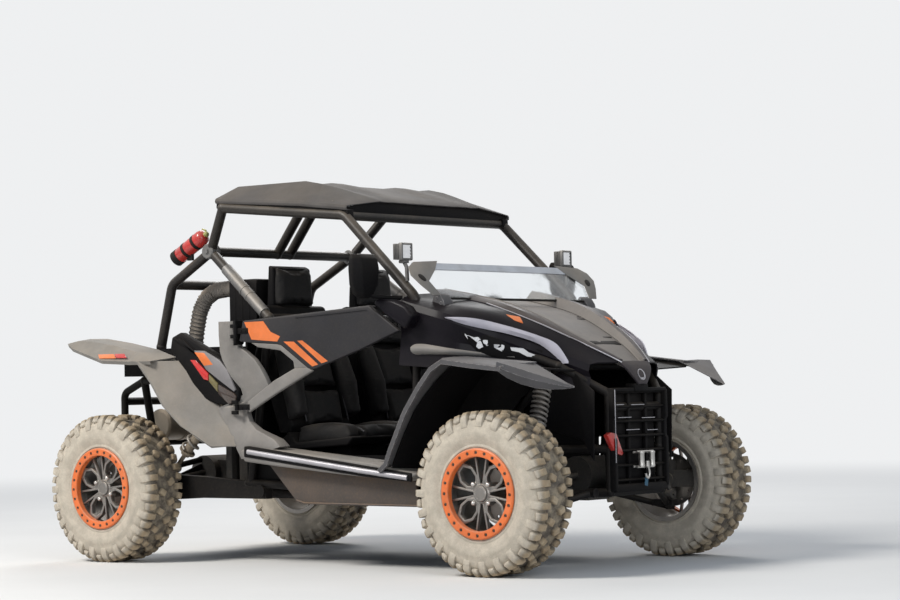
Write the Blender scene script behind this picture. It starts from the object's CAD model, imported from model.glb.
"""Two-seat dune buggy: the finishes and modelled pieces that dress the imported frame.

Metres, in the frame's own axes: +X is forward, +Y is the vehicle's left side and +Z is up. Each
sub-assembly is a class that builds its own meshes and dresses them. Pieces that come in pairs are
modelled on the left side and mirrored.
"""

from __future__ import annotations

import logging
import math
from contextlib import contextmanager
from dataclasses import dataclass
from enum import Enum
from typing import Iterable, Iterator, Sequence

import bmesh
import bpy
from mathutils import Matrix, Vector


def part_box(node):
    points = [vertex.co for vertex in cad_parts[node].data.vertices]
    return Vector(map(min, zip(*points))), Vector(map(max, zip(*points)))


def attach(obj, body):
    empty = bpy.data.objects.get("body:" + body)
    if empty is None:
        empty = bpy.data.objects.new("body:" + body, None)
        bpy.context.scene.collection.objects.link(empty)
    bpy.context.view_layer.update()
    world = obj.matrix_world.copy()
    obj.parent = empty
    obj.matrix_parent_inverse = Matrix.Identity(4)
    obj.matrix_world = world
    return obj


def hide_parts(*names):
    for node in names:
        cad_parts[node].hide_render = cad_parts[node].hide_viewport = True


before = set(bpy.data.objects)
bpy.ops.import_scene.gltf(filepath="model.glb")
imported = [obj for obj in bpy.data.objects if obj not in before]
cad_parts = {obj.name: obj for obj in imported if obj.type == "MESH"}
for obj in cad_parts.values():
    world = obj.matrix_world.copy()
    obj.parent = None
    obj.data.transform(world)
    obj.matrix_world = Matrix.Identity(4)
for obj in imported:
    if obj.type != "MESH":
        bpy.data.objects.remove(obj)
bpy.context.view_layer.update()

logging.basicConfig(level=logging.INFO, format="%(message)s")
log = logging.getLogger("buggy")

Colour = tuple[float, float, float]
Point = Sequence[float]
Outline = Sequence[tuple[float, float]]
SIDES = (("left", 1), ("right", -1))
TAN_DUST: Colour = (0.50, 0.40, 0.29)
FULL_TURN = 2 * math.pi


# Modelling bench


@contextmanager
def editing(piece: bpy.types.Object) -> Iterator[bmesh.types.BMesh]:
    """Edit mode on one piece alone, with all of it selected.

    Args:
        piece: The mesh object to edit.

    Yields:
        The piece's edit mesh.
    """
    select_only(piece)
    bpy.ops.object.mode_set(mode="EDIT")
    bpy.ops.mesh.select_mode(type="VERT")
    bpy.ops.mesh.select_all(action="SELECT")
    yield bmesh.from_edit_mesh(piece.data)
    bpy.ops.object.mode_set(mode="OBJECT")


def select_only(*pieces: bpy.types.Object) -> None:
    """Select these objects alone; the first becomes the active one.

    Args:
        *pieces: The objects to select, or none.
    """
    if bpy.context.object and bpy.context.object.mode != "OBJECT":
        bpy.ops.object.mode_set(mode="OBJECT")
    bpy.ops.object.select_all(action="DESELECT")
    for piece in pieces:
        piece.select_set(True)
    if pieces:
        bpy.context.view_layer.objects.active = pieces[0]


def tidy_normals(piece: bpy.types.Object, weld: float = 1e-5) -> None:
    """Merge a piece's doubles and point its faces outwards.

    Args:
        piece: The mesh object.
        weld: Corners nearer to each other than this are merged.
    """
    with editing(piece):
        bpy.ops.mesh.remove_doubles(threshold=weld)
        bpy.ops.mesh.normals_make_consistent(inside=False)


def apply_modifier(piece: bpy.types.Object, kind: str, **settings: object) -> None:
    """Add a modifier with these settings and apply it.

    Args:
        piece: The object that takes the modifier.
        kind: Blender's name for the modifier's type.
        **settings: The modifier's properties.
    """
    select_only(piece)
    modifier = piece.modifiers.new(kind.title(), kind)
    for name, value in settings.items():
        setattr(modifier, name, value)
    bpy.ops.object.modifier_apply(modifier=modifier.name)


def bevelled(
    piece: bpy.types.Object, width: float, segments: int = 2, angle: float = 30.0
) -> bpy.types.Object:
    """Round a piece's sharp edges and shade it smoothly between them.

    Args:
        piece: The object to round.
        width: The bevel's width.
        segments: Faces across the bevel.
        angle: Edges sharper than this many degrees are rounded.

    Returns:
        The same object.
    """
    apply_modifier(
        piece,
        "BEVEL",
        width=width,
        segments=segments,
        limit_method="ANGLE",
        angle_limit=math.radians(angle),
        use_clamp_overlap=True,
        harden_normals=False,
    )
    return smoothed(piece)


def smoothed(piece: bpy.types.Object, angle: float = 35.0) -> bpy.types.Object:
    """Shade smoothly across edges flatter than this angle.

    Args:
        piece: The object to shade.
        angle: Edges flatter than this many degrees are smoothed.

    Returns:
        The same object.
    """
    select_only(piece)
    bpy.ops.object.shade_smooth_by_angle(angle=math.radians(angle))
    return piece


def plate(name: str, corners: Sequence[Point], depth: Point) -> bpy.types.Object:
    """Solid plate from a flat outline.

    Args:
        name: The new object's name.
        corners: The outline's corners in order.
        depth: How far and which way the outline is extruded.

    Returns:
        The closed plate.
    """
    select_only()
    bpy.ops.mesh.primitive_circle_add(vertices=len(corners), fill_type="NGON")
    piece = bpy.context.active_object
    piece.name = name
    for vertex, corner in zip(piece.data.vertices, corners):
        vertex.co = corner
    with editing(piece):
        bpy.ops.mesh.extrude_region_move(TRANSFORM_OT_translate={"value": tuple(depth)})
        bpy.ops.mesh.select_all(action="SELECT")
        bpy.ops.mesh.normals_make_consistent(inside=False)
    return piece


def sheet(
    name: str, rows: Sequence[Sequence[Point]], wall: float = 0.0, closed: bool = False
) -> bpy.types.Object:
    """Skin through rows of points, each row as long as the next.

    Args:
        name: The new object's name.
        rows: The rows of points that the skin passes through.
        wall: Thickness given to the skin, or 0 for none.
        closed: Whether each row ends where it starts, so that the skin is a closed tube with capped ends.

    Returns:
        The skin.
    """
    lines = [list(row) + [row[0]] if closed else list(row) for row in rows]
    select_only()
    bpy.ops.mesh.primitive_grid_add(x_subdivisions=len(lines[0]) - 1, y_subdivisions=len(lines) - 1, size=1)
    piece = bpy.context.active_object
    piece.name = name
    for vertex, corner in zip(piece.data.vertices, (point for line in lines for point in line)):
        vertex.co = corner
    with editing(piece):
        bpy.ops.mesh.remove_doubles(threshold=1e-6)
        if closed:
            bpy.ops.mesh.select_all(action="DESELECT")
            bpy.ops.mesh.select_non_manifold()
            bpy.ops.mesh.edge_face_add()
            bpy.ops.mesh.select_all(action="SELECT")
        bpy.ops.mesh.normals_make_consistent(inside=False)
    if wall:
        apply_modifier(piece, "SOLIDIFY", thickness=wall, offset=-1.0, use_even_offset=True)
    return piece


def turned(
    name: str,
    profile: Outline,
    steps: int,
    axis: Point = (0, 1, 0),
    centre: Point = (0, 0, 0),
) -> bpy.types.Object:
    """Body turned about an axis from a closed profile.

    Args:
        name: The new object's name.
        profile: Corners as (radius, place along the axis).
        steps: Faces round the axis.
        axis: Direction of the axis.
        centre: Point on the axis from which places are measured.

    Returns:
        The turned body.
    """
    along = Vector(axis).normalized()
    outwards = along.orthogonal().normalized()
    select_only()
    bpy.ops.mesh.primitive_circle_add(vertices=len(profile), fill_type="NOTHING")
    piece = bpy.context.active_object
    piece.name = name
    for vertex, (radius, place) in zip(piece.data.vertices, profile):
        vertex.co = Vector(centre) + outwards * radius + along * place
    with editing(piece):
        bpy.ops.mesh.spin(steps=steps, angle=FULL_TURN, center=tuple(centre), axis=tuple(along))
        bpy.ops.mesh.select_all(action="SELECT")
        bpy.ops.mesh.remove_doubles(threshold=1e-6)
        bpy.ops.mesh.dissolve_degenerate(threshold=1e-6)
        bpy.ops.mesh.select_all(action="SELECT")
        bpy.ops.mesh.normals_make_consistent(inside=False)
    return piece


def block(name: str, low: Point, high: Point, rounding: float = 0.003) -> bpy.types.Object:
    """Box between two corners with rounded edges.

    Args:
        name: The new object's name.
        low: Lowest corner.
        high: Highest corner.
        rounding: Radius of the edges, or 0 to leave them sharp.

    Returns:
        The box.
    """
    low_corner, high_corner = Vector(low), Vector(high)
    select_only()
    bpy.ops.mesh.primitive_cube_add(size=1)
    piece = bpy.context.active_object
    piece.name = name
    with editing(piece):
        bpy.ops.transform.resize(value=tuple(high_corner - low_corner))
        bpy.ops.transform.translate(value=tuple((low_corner + high_corner) / 2))
    return bevelled(piece, rounding) if rounding else piece


def pipe(
    name: str, route: Sequence[Point], radius: float, sides: int = 12, smooth: bool = False
) -> bpy.types.Object:
    """Round bar along a route.

    Args:
        name: The new object's name.
        route: Points along the bar's middle.
        radius: The bar's radius.
        sides: Faces round the bar; a multiple of four.
        smooth: Whether the route is a smooth curve near its points, not straight runs.

    Returns:
        The bar as a mesh with capped ends.
    """
    select_only()
    bpy.ops.curve.primitive_nurbs_path_add()
    bar = bpy.context.active_object
    bar.name = name
    curve = bar.data
    curve.splines.clear()
    spline = curve.splines.new("NURBS" if smooth else "POLY")
    spline.points.add(len(route) - 1)
    for point, place in zip(spline.points, route):
        point.co = (*place, 1)
    if smooth:
        spline.order_u = 3
        spline.use_endpoint_u = True
        spline.resolution_u = 8
    curve.bevel_depth = radius
    curve.bevel_resolution = max(sides // 4 - 1, 0)
    curve.use_fill_caps = True
    bpy.ops.object.convert(target="MESH")
    piece = bpy.context.active_object
    tidy_normals(piece)
    return smoothed(piece, 50)


def joined(name: str, pieces: Iterable[bpy.types.Object]) -> bpy.types.Object:
    """Join pieces into one object of that name.

    Args:
        name: The joined object's name.
        pieces: The objects; the first takes up the others.

    Returns:
        The joined object.
    """
    group = list(pieces)
    select_only(*group)
    if len(group) > 1:
        bpy.ops.object.join()
    piece = bpy.context.active_object
    piece.name = name
    piece.data.name = name
    return piece


def copied(piece: bpy.types.Object, name: str, place: Matrix) -> bpy.types.Object:
    """Copy of a piece with its own mesh, moved by a matrix that its mesh takes up.

    Args:
        piece: The object to copy.
        name: The copy's name.
        place: The matrix, which may mirror.

    Returns:
        The copy.
    """
    twin = bpy.data.objects.new(name, piece.data.copy())
    twin.data.transform(place)
    bpy.context.scene.collection.objects.link(twin)
    if place.determinant() < 0:
        select_only(twin)
        bpy.ops.object.mode_set(mode="EDIT")
        bpy.ops.mesh.select_all(action="SELECT")
        bpy.ops.mesh.flip_normals()
        bpy.ops.object.mode_set(mode="OBJECT")
    return twin


def mirrored(piece: bpy.types.Object, name: str) -> bpy.types.Object:
    """Right-hand twin of a left-hand piece."""
    return copied(piece, name, Matrix.Scale(-1, 4, (0, 1, 0)))


def paired(name: str, piece: bpy.types.Object) -> bpy.types.Object:
    """One object that holds a left-hand piece and its right-hand twin."""
    return joined(name, (piece, mirrored(piece, name + "_twin")))


def ring_of(name: str, piece: bpy.types.Object, count: int, axis: Point) -> bpy.types.Object:
    """Copies of a piece spread evenly about an axis and joined; the piece itself is one of them.

    Args:
        name: The joined object's name.
        piece: The piece at its first place.
        count: How many there are in all.
        axis: Direction of the axis, through the origin.

    Returns:
        The joined ring.
    """
    turn = FULL_TURN / count
    copies = [
        copied(piece, f"{name}_{index}", Matrix.Rotation(turn * index, 4, axis)) for index in range(1, count)
    ]
    return joined(name, [piece, *copies])


def carved(piece: bpy.types.Object, cutter: bpy.types.Object) -> bpy.types.Object:
    """Cut one closed body out of another; the cutter is used up.

    Args:
        piece: The closed body that is cut.
        cutter: The closed body that is taken away.

    Returns:
        The same piece.
    """
    apply_modifier(piece, "BOOLEAN", operation="DIFFERENCE", object=cutter, solver="EXACT")
    bpy.data.objects.remove(cutter)
    return piece


# Shader groups and finishes


class Graph:
    """A node tree with short calls for adding and linking its nodes."""

    def __init__(self, tree: bpy.types.NodeTree) -> None:
        """Wrap a node tree."""
        self.tree = tree

    def add(
        self, kind: str, inputs: dict[str | int, object] | None = None, **settings: object
    ) -> bpy.types.Node:
        """Add a node.

        Args:
            kind: The node's type name.
            inputs: Values or output sockets for its inputs, by name or index.
            **settings: The node's own properties.

        Returns:
            The new node.
        """
        node = self.tree.nodes.new(kind)
        for name, value in settings.items():
            setattr(node, name, value)
        for socket, value in (inputs or {}).items():
            if isinstance(value, bpy.types.NodeSocket):
                self.tree.links.new(value, node.inputs[socket])
            else:
                node.inputs[socket].default_value = value
        return node

    def math(self, operation: str, *values: object, clamp: bool = False) -> bpy.types.NodeSocket:
        """Output of a Math node on these values or sockets."""
        node = self.add("ShaderNodeMath", dict(enumerate(values)), operation=operation, use_clamp=clamp)
        return node.outputs[0]

    def feed(self, socket: bpy.types.NodeSocket, value: object) -> None:
        """Link an input to an output socket, or set its value.

        Args:
            socket: The input.
            value: An output socket, a number, or a colour of three numbers.
        """
        if isinstance(value, bpy.types.NodeSocket):
            self.tree.links.new(value, socket)
        else:
            socket.default_value = (*value, 1) if isinstance(value, tuple) else value

    def mix(self, share: object, first: object, second: object) -> bpy.types.NodeSocket:
        """Colour between two colours, by a share from 0 to 1.

        Args:
            share: Share of the second colour.
            first: The first colour.
            second: The second colour.

        Returns:
            Output socket of the mixed colour.
        """
        node = self.tree.nodes.new("ShaderNodeMix")
        node.data_type = "RGBA"
        for index, value in ((0, share), (6, first), (7, second)):
            self.feed(node.inputs[index], value)
        return node.outputs[2]

    def noise(
        self, place: bpy.types.NodeSocket, scale: object, detail: float = 5.0, rough: float = 0.6
    ) -> bpy.types.NodeSocket:
        """Value of a noise texture at a place.

        Args:
            place: Socket of the place to read.
            scale: How fine the pattern is.
            detail: How many finer layers it has.
            rough: How much the finer layers count.

        Returns:
            Output socket of the value.
        """
        node = self.add(
            "ShaderNodeTexNoise", {"Vector": place, "Scale": scale, "Detail": detail, "Roughness": rough}
        )
        return node.outputs[0]

    def between(
        self, value: object, low: object, high: object, start: object = 0.0, end: object = 1.0
    ) -> bpy.types.NodeSocket:
        """Value carried smoothly from one range to another and held at its ends.

        Args:
            value: The value to carry over.
            low: Lower end of its own range.
            high: Upper end of its own range.
            start: What the lower end becomes.
            end: What the upper end becomes.

        Returns:
            Output socket of the new value.
        """
        node = self.add(
            "ShaderNodeMapRange",
            {0: value, 1: low, 2: high, 3: start, 4: end},
            interpolation_type="SMOOTHSTEP",
        )
        return node.outputs[0]


class GroupKind(Enum):
    """The shader groups that several finishes share."""

    DUST = "dust film"
    GRAIN = "moulded grain"
    WEAR = "edge wear"
    WHEEL = "wheel place"


def new_group(
    kind: GroupKind, inputs: dict[str, object], outputs: dict[str, str]
) -> tuple[Graph, bpy.types.Node, bpy.types.Node]:
    """Start a shader group.

    Args:
        kind: Which group it is.
        inputs: Default value of each input; three numbers make a colour.
        outputs: Socket type of each output.

    Returns:
        The group's graph, its input node and its output node.
    """
    tree = bpy.data.node_groups.new(kind.value, "ShaderNodeTree")
    for name, value in inputs.items():
        is_colour = isinstance(value, tuple)
        socket = tree.interface.new_socket(
            name, in_out="INPUT", socket_type="NodeSocketColor" if is_colour else "NodeSocketFloat"
        )
        socket.default_value = (*value, 1) if is_colour else value
    for name, socket_type in outputs.items():
        tree.interface.new_socket(name, in_out="OUTPUT", socket_type=socket_type)
    return Graph(tree), tree.nodes.new("NodeGroupInput"), tree.nodes.new("NodeGroupOutput")


def dust_group() -> bpy.types.NodeTree:
    """Film of dust that lies thickest on what faces up.

    Returns:
        The group's node tree.
    """
    graph, given, result = new_group(
        GroupKind.DUST,
        {"Colour": (0.1, 0.1, 0.1), "Dust": TAN_DUST, "Amount": 0.3, "Spread": 6.0},
        {"Colour": "NodeSocketColor", "Mask": "NodeSocketFloat"},
    )
    place = graph.add("ShaderNodeTexCoord")
    facing = graph.add("ShaderNodeSeparateXYZ", {0: place.outputs["Normal"]})
    up = graph.between(facing.outputs[2], -0.2, 0.9, 0.15, 1.0)
    cloud = graph.between(graph.noise(place.outputs["Object"], given.outputs["Spread"]), 0.32, 0.68)
    speckle = graph.between(graph.noise(place.outputs["Object"], 90.0, 8.0, 0.7), 0.45, 0.72)
    share = graph.math("MULTIPLY", graph.math("ADD", graph.math("MULTIPLY", cloud, 0.75), 0.35), up)
    share = graph.math("ADD", share, graph.math("MULTIPLY", speckle, 0.25))
    mask = graph.math("MULTIPLY", share, given.outputs["Amount"], clamp=True)
    tree = graph.tree
    tree.links.new(graph.mix(mask, given.outputs["Colour"], given.outputs["Dust"]), result.inputs["Colour"])
    tree.links.new(mask, result.inputs["Mask"])
    return tree


def grain_group() -> bpy.types.NodeTree:
    """Fine grain of a moulded or cast surface, as a height.

    Returns:
        The group's node tree.
    """
    graph, given, result = new_group(GroupKind.GRAIN, {"Scale": 900.0}, {"Height": "NodeSocketFloat"})
    place = graph.add("ShaderNodeTexCoord").outputs["Object"]
    fine = graph.noise(place, given.outputs["Scale"], 2.0, 0.5)
    broad = graph.noise(place, 38.0, 3.0, 0.5)
    height = graph.math("ADD", graph.math("MULTIPLY", fine, 0.6), graph.math("MULTIPLY", broad, 0.4))
    graph.tree.links.new(height, result.inputs["Height"])
    return graph.tree


def wear_group() -> bpy.types.NodeTree:
    """Mask of rubbed edges, from the difference between a rounded and the true normal.

    Returns:
        The group's node tree.
    """
    graph, given, result = new_group(
        GroupKind.WEAR, {"Radius": 0.004, "Strength": 0.5}, {"Mask": "NodeSocketFloat"}
    )
    soft = graph.add("ShaderNodeBevel", {"Radius": given.outputs["Radius"]}, samples=4)
    true = graph.add("ShaderNodeNewGeometry")
    dot = graph.add(
        "ShaderNodeVectorMath", {0: soft.outputs[0], 1: true.outputs["Normal"]}, operation="DOT_PRODUCT"
    )
    edge = graph.between(dot.outputs["Value"], 0.995, 0.93)
    place = graph.add("ShaderNodeTexCoord").outputs["Object"]
    broken = graph.between(graph.noise(place, 60.0, 6.0, 0.7), 0.4, 0.6)
    mask = graph.math("MULTIPLY", graph.math("MULTIPLY", edge, broken), given.outputs["Strength"], clamp=True)
    graph.tree.links.new(mask, result.inputs["Mask"])
    return graph.tree


def wheel_group() -> bpy.types.NodeTree:
    """Distance of a point from its own wheel's axle, for a machine whose axles mirror each other.

    Returns:
        The group's node tree.
    """
    graph, given, result = new_group(
        GroupKind.WHEEL,
        {"Axle X": 1.143, "Axle Z": 0.35},
        {"Radius": "NodeSocketFloat", "Out": "NodeSocketFloat"},
    )
    place = graph.add("ShaderNodeTexCoord").outputs["Object"]
    parts = graph.add("ShaderNodeSeparateXYZ", {0: place})
    along = graph.math("SUBTRACT", graph.math("ABSOLUTE", parts.outputs[0]), given.outputs["Axle X"])
    rise = graph.math("SUBTRACT", parts.outputs[2], given.outputs["Axle Z"])
    square = graph.math("ADD", graph.math("MULTIPLY", along, along), graph.math("MULTIPLY", rise, rise))
    graph.tree.links.new(graph.math("SQRT", square), result.inputs["Radius"])
    graph.tree.links.new(graph.math("ABSOLUTE", parts.outputs[1]), result.inputs["Out"])
    return graph.tree


GROUP_MAKERS = {
    GroupKind.DUST: dust_group,
    GroupKind.GRAIN: grain_group,
    GroupKind.WEAR: wear_group,
    GroupKind.WHEEL: wheel_group,
}


def shared_group(kind: GroupKind) -> bpy.types.NodeTree:
    """The shader group of that kind, made on first use."""
    return bpy.data.node_groups.get(kind.value) or GROUP_MAKERS[kind]()


class Surface(Graph):
    """A material with one Principled shader and the shared groups at hand."""

    def __init__(self, title: str) -> None:
        """Start a material of that name.

        Args:
            title: The material's name.
        """
        self.material = bpy.data.materials.new(title)
        self.material.use_nodes = True
        super().__init__(self.material.node_tree)
        self.shader = self.tree.nodes["Principled BSDF"]

    def group(self, kind: GroupKind, **values: object) -> bpy.types.Node:
        """Place a shared group, its inputs given by name with underscores for spaces.

        Args:
            kind: Which group it is.
            **values: Values or output sockets for its inputs.

        Returns:
            The group's node.
        """
        node = self.tree.nodes.new("ShaderNodeGroup")
        node.node_tree = shared_group(kind)
        for name, value in values.items():
            self.feed(node.inputs[name.replace("_", " ")], value)
        return node

    def set(self, **values: object) -> None:
        """Set or link the shader's inputs, named with underscores for spaces."""
        for name, value in values.items():
            self.feed(self.shader.inputs[name.replace("_", " ")], value)

    def bump(self, height: bpy.types.NodeSocket, strength: float, distance: float = 0.001) -> None:
        """Raise the surface by a height."""
        node = self.add("ShaderNodeBump", {"Strength": strength, "Distance": distance, "Height": height})
        self.set(Normal=node.outputs[0])


@dataclass(frozen=True)
class Coated:
    """A plastic, painted or metal surface under a film of dust."""

    title: str
    colour: Colour
    roughness: float = 0.55
    metallic: float = 0.0
    coat: float = 0.0
    dust: float = 0.3
    spread: float = 6.0
    dust_colour: Colour = TAN_DUST
    grain: float = 0.25
    grain_scale: float = 900.0
    wear: float = 0.0
    wear_colour: Colour = (0.45, 0.42, 0.38)
    specular: float = 0.5

    def material(self) -> bpy.types.Material:
        """Build the material.

        Returns:
            The new material.
        """
        surface = Surface(self.title)
        place = surface.add("ShaderNodeTexCoord").outputs["Object"]
        tint = surface.between(surface.noise(place, 9.0, 4.0), 0.3, 0.7)
        darker = tuple(channel * 0.8 for channel in self.colour)
        colour = surface.mix(tint, darker, self.colour)
        if self.wear:
            worn = surface.group(GroupKind.WEAR, Strength=self.wear)
            colour = surface.mix(worn.outputs["Mask"], colour, self.wear_colour)
        film = surface.group(
            GroupKind.DUST, Colour=colour, Dust=self.dust_colour, Amount=self.dust, Spread=self.spread
        )
        mask = film.outputs["Mask"]
        surface.set(
            Base_Color=film.outputs["Colour"],
            Roughness=surface.between(mask, 0.0, 0.8, self.roughness, 0.92),
            Coat_Weight=surface.between(mask, 0.0, 0.5, self.coat, 0.0),
            Metallic=surface.between(mask, 0.05, 0.6, self.metallic, 0.0),
            Coat_Roughness=0.08,
        )
        surface.shader.inputs["Specular IOR Level"].default_value = self.specular
        if self.grain:
            height = surface.group(GroupKind.GRAIN, Scale=self.grain_scale).outputs["Height"]
            surface.bump(height, self.grain, 0.0006)
        return surface.material


@dataclass(frozen=True)
class TyreRubber:
    """Tread rubber: pale dusty sidewall, brown tread tops and dark grooves."""

    title: str
    sidewall: Colour = (0.56, 0.50, 0.41)
    tread: Colour = (0.33, 0.25, 0.16)
    groove: Colour = (0.10, 0.085, 0.07)

    def material(self) -> bpy.types.Material:
        """Build the material.

        Returns:
            The new material.
        """
        surface = Surface(self.title)
        place = surface.add("ShaderNodeTexCoord").outputs["Object"]
        wheel = surface.group(GroupKind.WHEEL)
        radius = wheel.outputs["Radius"]
        patches = surface.between(surface.noise(place, 22.0, 7.0, 0.65), 0.35, 0.68)
        fine = surface.between(surface.noise(place, 160.0, 8.0, 0.7), 0.35, 0.7)
        wall = surface.mix(patches, tuple(channel * 0.78 for channel in self.sidewall), self.sidewall)
        wall = surface.mix(surface.math("MULTIPLY", fine, 0.25), wall, (0.30, 0.25, 0.19))
        top = surface.between(radius, 0.330, 0.346)
        rubber = surface.mix(top, self.groove, self.tread)
        rubber = surface.mix(surface.math("MULTIPLY", patches, 0.55), rubber, (0.50, 0.42, 0.30))
        shoulder = surface.between(wheel.outputs["Out"], 0.745, 0.79)
        inner_shoulder = surface.between(wheel.outputs["Out"], 0.62, 0.585)
        side = surface.math("MAXIMUM", shoulder, inner_shoulder)
        side = surface.math("MULTIPLY", side, surface.between(radius, 0.345, 0.325))
        rings = surface.add(
            "ShaderNodeTexWave",
            {"Vector": surface.add("ShaderNodeCombineXYZ", {0: radius}).outputs[0], "Scale": 38.0},
            bands_direction="X",
        )
        surface.set(Base_Color=surface.mix(side, rubber, wall), Roughness=0.9)
        height = surface.math("ADD", surface.math("MULTIPLY", rings.outputs[1], 0.25), fine)
        surface.bump(height, 0.35, 0.0012)
        return surface.material


@dataclass(frozen=True)
class Clear:
    """Clear plastic with faint smears."""

    title: str
    colour: Colour = (0.93, 0.96, 0.98)
    roughness: float = 0.05
    transmission: float = 1.0
    haze: float = 0.12

    def material(self) -> bpy.types.Material:
        """Build the material.

        Returns:
            The new material.
        """
        surface = Surface(self.title)
        place = surface.add("ShaderNodeTexCoord").outputs["Object"]
        smear = surface.between(surface.noise(place, 7.0, 8.0, 0.7), 0.4, 0.75)
        surface.set(
            Base_Color=self.colour,
            Roughness=surface.between(smear, 0.0, 1.0, self.roughness, self.roughness + self.haze),
            Transmission_Weight=self.transmission,
            IOR=1.49,
        )
        return surface.material


class Finish(Enum):
    """Every finish on the machine."""

    TYRE = TyreRubber("tyre rubber")
    ALLOY = Coated(
        "wheel alloy", (0.23, 0.22, 0.21), 0.38, metallic=0.75, dust=0.35, wear=0.5,
        wear_colour=(0.6, 0.58, 0.54),
    )
    LOCK_RING = Coated(
        "orange lock ring", (0.80, 0.16, 0.025), 0.42, dust=0.28, spread=14.0, wear=0.55,
        wear_colour=(0.35, 0.2, 0.12),
    )
    FASTENER = Coated("bright fastener", (0.62, 0.60, 0.57), 0.28, metallic=0.9, dust=0.15, grain=0.1)
    DARK_BOLT = Coated("dark bolt", (0.05, 0.045, 0.04), 0.4, metallic=0.6, dust=0.2)
    BRAKE = Coated("brake steel", (0.30, 0.28, 0.26), 0.35, metallic=0.85, dust=0.3, grain=0.1)
    CAST = Coated("cast metal", (0.07, 0.07, 0.07), 0.6, metallic=0.4, dust=0.35, grain_scale=420.0)
    FRAME = Coated("frame paint", (0.005, 0.005, 0.006), 0.55, dust=0.07, wear=0.1, specular=0.15)
    CAGE = Coated("cage paint", (0.014, 0.013, 0.013), 0.42, dust=0.16, wear=0.15, specular=0.3)
    ROOF = Coated(
        "roof plastic", (0.088, 0.083, 0.081), 0.75, dust=0.10, spread=3.5, wear=0.15,
        wear_colour=(0.14, 0.14, 0.15), specular=0.12,
    )
    BLACK = Coated("black plastic", (0.004, 0.004, 0.005), 0.65, dust=0.03, specular=0.1)
    GLOSS = Coated(
        "gloss panel", (0.005, 0.004, 0.007), 0.45, coat=0.05, dust=0.015, grain=0.05, specular=0.1
    )
    HOOD = Coated(
        "hood plastic", (0.145, 0.134, 0.126), 0.62, dust=0.42, spread=3.0, dust_colour=(0.36, 0.315, 0.27),
        specular=0.3,
    )
    DOOR = Coated("door plastic", (0.018, 0.018, 0.022), 0.5, dust=0.07, specular=0.25)
    BODY = Coated(
        "pale body plastic", (0.205, 0.195, 0.185), 0.6, dust=0.22, spread=3.0, wear=0.4,
        wear_colour=(0.42, 0.40, 0.37), specular=0.3,
    )
    FLARE = Coated(
        "flare plastic", (0.085, 0.083, 0.088), 0.62, dust=0.10, spread=4.0, wear=0.6,
        wear_colour=(0.45, 0.43, 0.42), specular=0.3,
    )
    GUARD = Coated(
        "guard plastic", (0.06, 0.05, 0.045), 0.6, dust=0.55, spread=5.0, dust_colour=(0.28, 0.17, 0.09)
    )
    SEAT = Coated(
        "seat cover", (0.008, 0.008, 0.009), 0.7, dust=0.05, grain=0.6, grain_scale=420.0, specular=0.25
    )
    TRIM = Coated("seat piping", (0.05, 0.05, 0.055), 0.6, dust=0.05, specular=0.3)
    RUBBER = Coated("black rubber", (0.008, 0.008, 0.008), 0.75, dust=0.05, specular=0.2)
    HOSE = Coated("grey hose", (0.22, 0.20, 0.18), 0.7, dust=0.5)
    RED = Coated("red paint", (0.50, 0.015, 0.012), 0.3, coat=0.5, dust=0.12)
    ORANGE = Coated("orange stripe", (0.75, 0.17, 0.03), 0.45, dust=0.18)
    SPRING = Coated("spring paint", (0.36, 0.34, 0.31), 0.45, metallic=0.3, dust=0.45)
    DARK_SPRING = Coated("dark spring", (0.20, 0.19, 0.18), 0.45, metallic=0.3, dust=0.3, wear=0.4)
    POD_PANEL = Coated("pod panel", (0.22, 0.21, 0.215), 0.35, metallic=0.2, dust=0.15, grain=0.05)
    DAMPER = Coated("damper body", (0.30, 0.25, 0.19), 0.5, metallic=0.3, dust=0.4)
    SILVER = Coated("silver trim", (0.46, 0.45, 0.48), 0.35, metallic=0.5, dust=0.15, grain=0.05)
    LILAC = Coated("pale bar plastic", (0.50, 0.48, 0.54), 0.4, dust=0.12, spread=4.0, grain=0.08)
    FOLD = Coated("folded screen edge", (0.60, 0.62, 0.66), 0.3, dust=0.15, grain=0.05)
    LAMP_BODY = Coated("lamp body", (0.16, 0.16, 0.16), 0.45, metallic=0.4, dust=0.3)
    VALVE = Coated("valve metal", (0.36, 0.36, 0.12), 0.4, metallic=0.3, dust=0.15)
    STEEL = Coated("bright steel", (0.55, 0.54, 0.52), 0.3, metallic=0.9, dust=0.25)
    RIDGE = Coated("ridge plastic", (0.030, 0.026, 0.032), 0.5, dust=0.10, spread=3.0, specular=0.2)
    TAIL = Coated(
        "tail plastic", (0.21, 0.20, 0.185), 0.62, dust=0.28, spread=3.5, wear=0.35,
        wear_colour=(0.42, 0.39, 0.36), specular=0.3,
    )
    CHROME = Coated("lamp reflector", (0.75, 0.76, 0.78), 0.12, metallic=1.0, dust=0.08, grain=0.0)
    WEBBING = Coated("blue webbing", (0.03, 0.12, 0.2), 0.8, dust=0.3, grain=0.6, grain_scale=1500.0)
    ORANGE_LENS = Coated(
        "orange lens", (0.85, 0.19, 0.03), 0.2, coat=0.6, dust=0.12, grain=0.1, grain_scale=400.0
    )
    RED_LENS = Coated(
        "red lens", (0.62, 0.012, 0.01), 0.18, coat=0.6, dust=0.08, grain=0.1, grain_scale=400.0
    )
    OLIVE_LENS = Coated("olive lens", (0.16, 0.13, 0.04), 0.2, coat=0.6, dust=0.1, grain=0.1)
    SMOKE_LENS = Coated("smoked lens", (0.035, 0.018, 0.012), 0.15, coat=0.7, dust=0.1, grain=0.05)
    SCREEN = Clear("clear screen")

    def material(self) -> bpy.types.Material:
        """The finish's material, built on first use."""
        return bpy.data.materials.get(self.value.title) or self.value.material()


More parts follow.
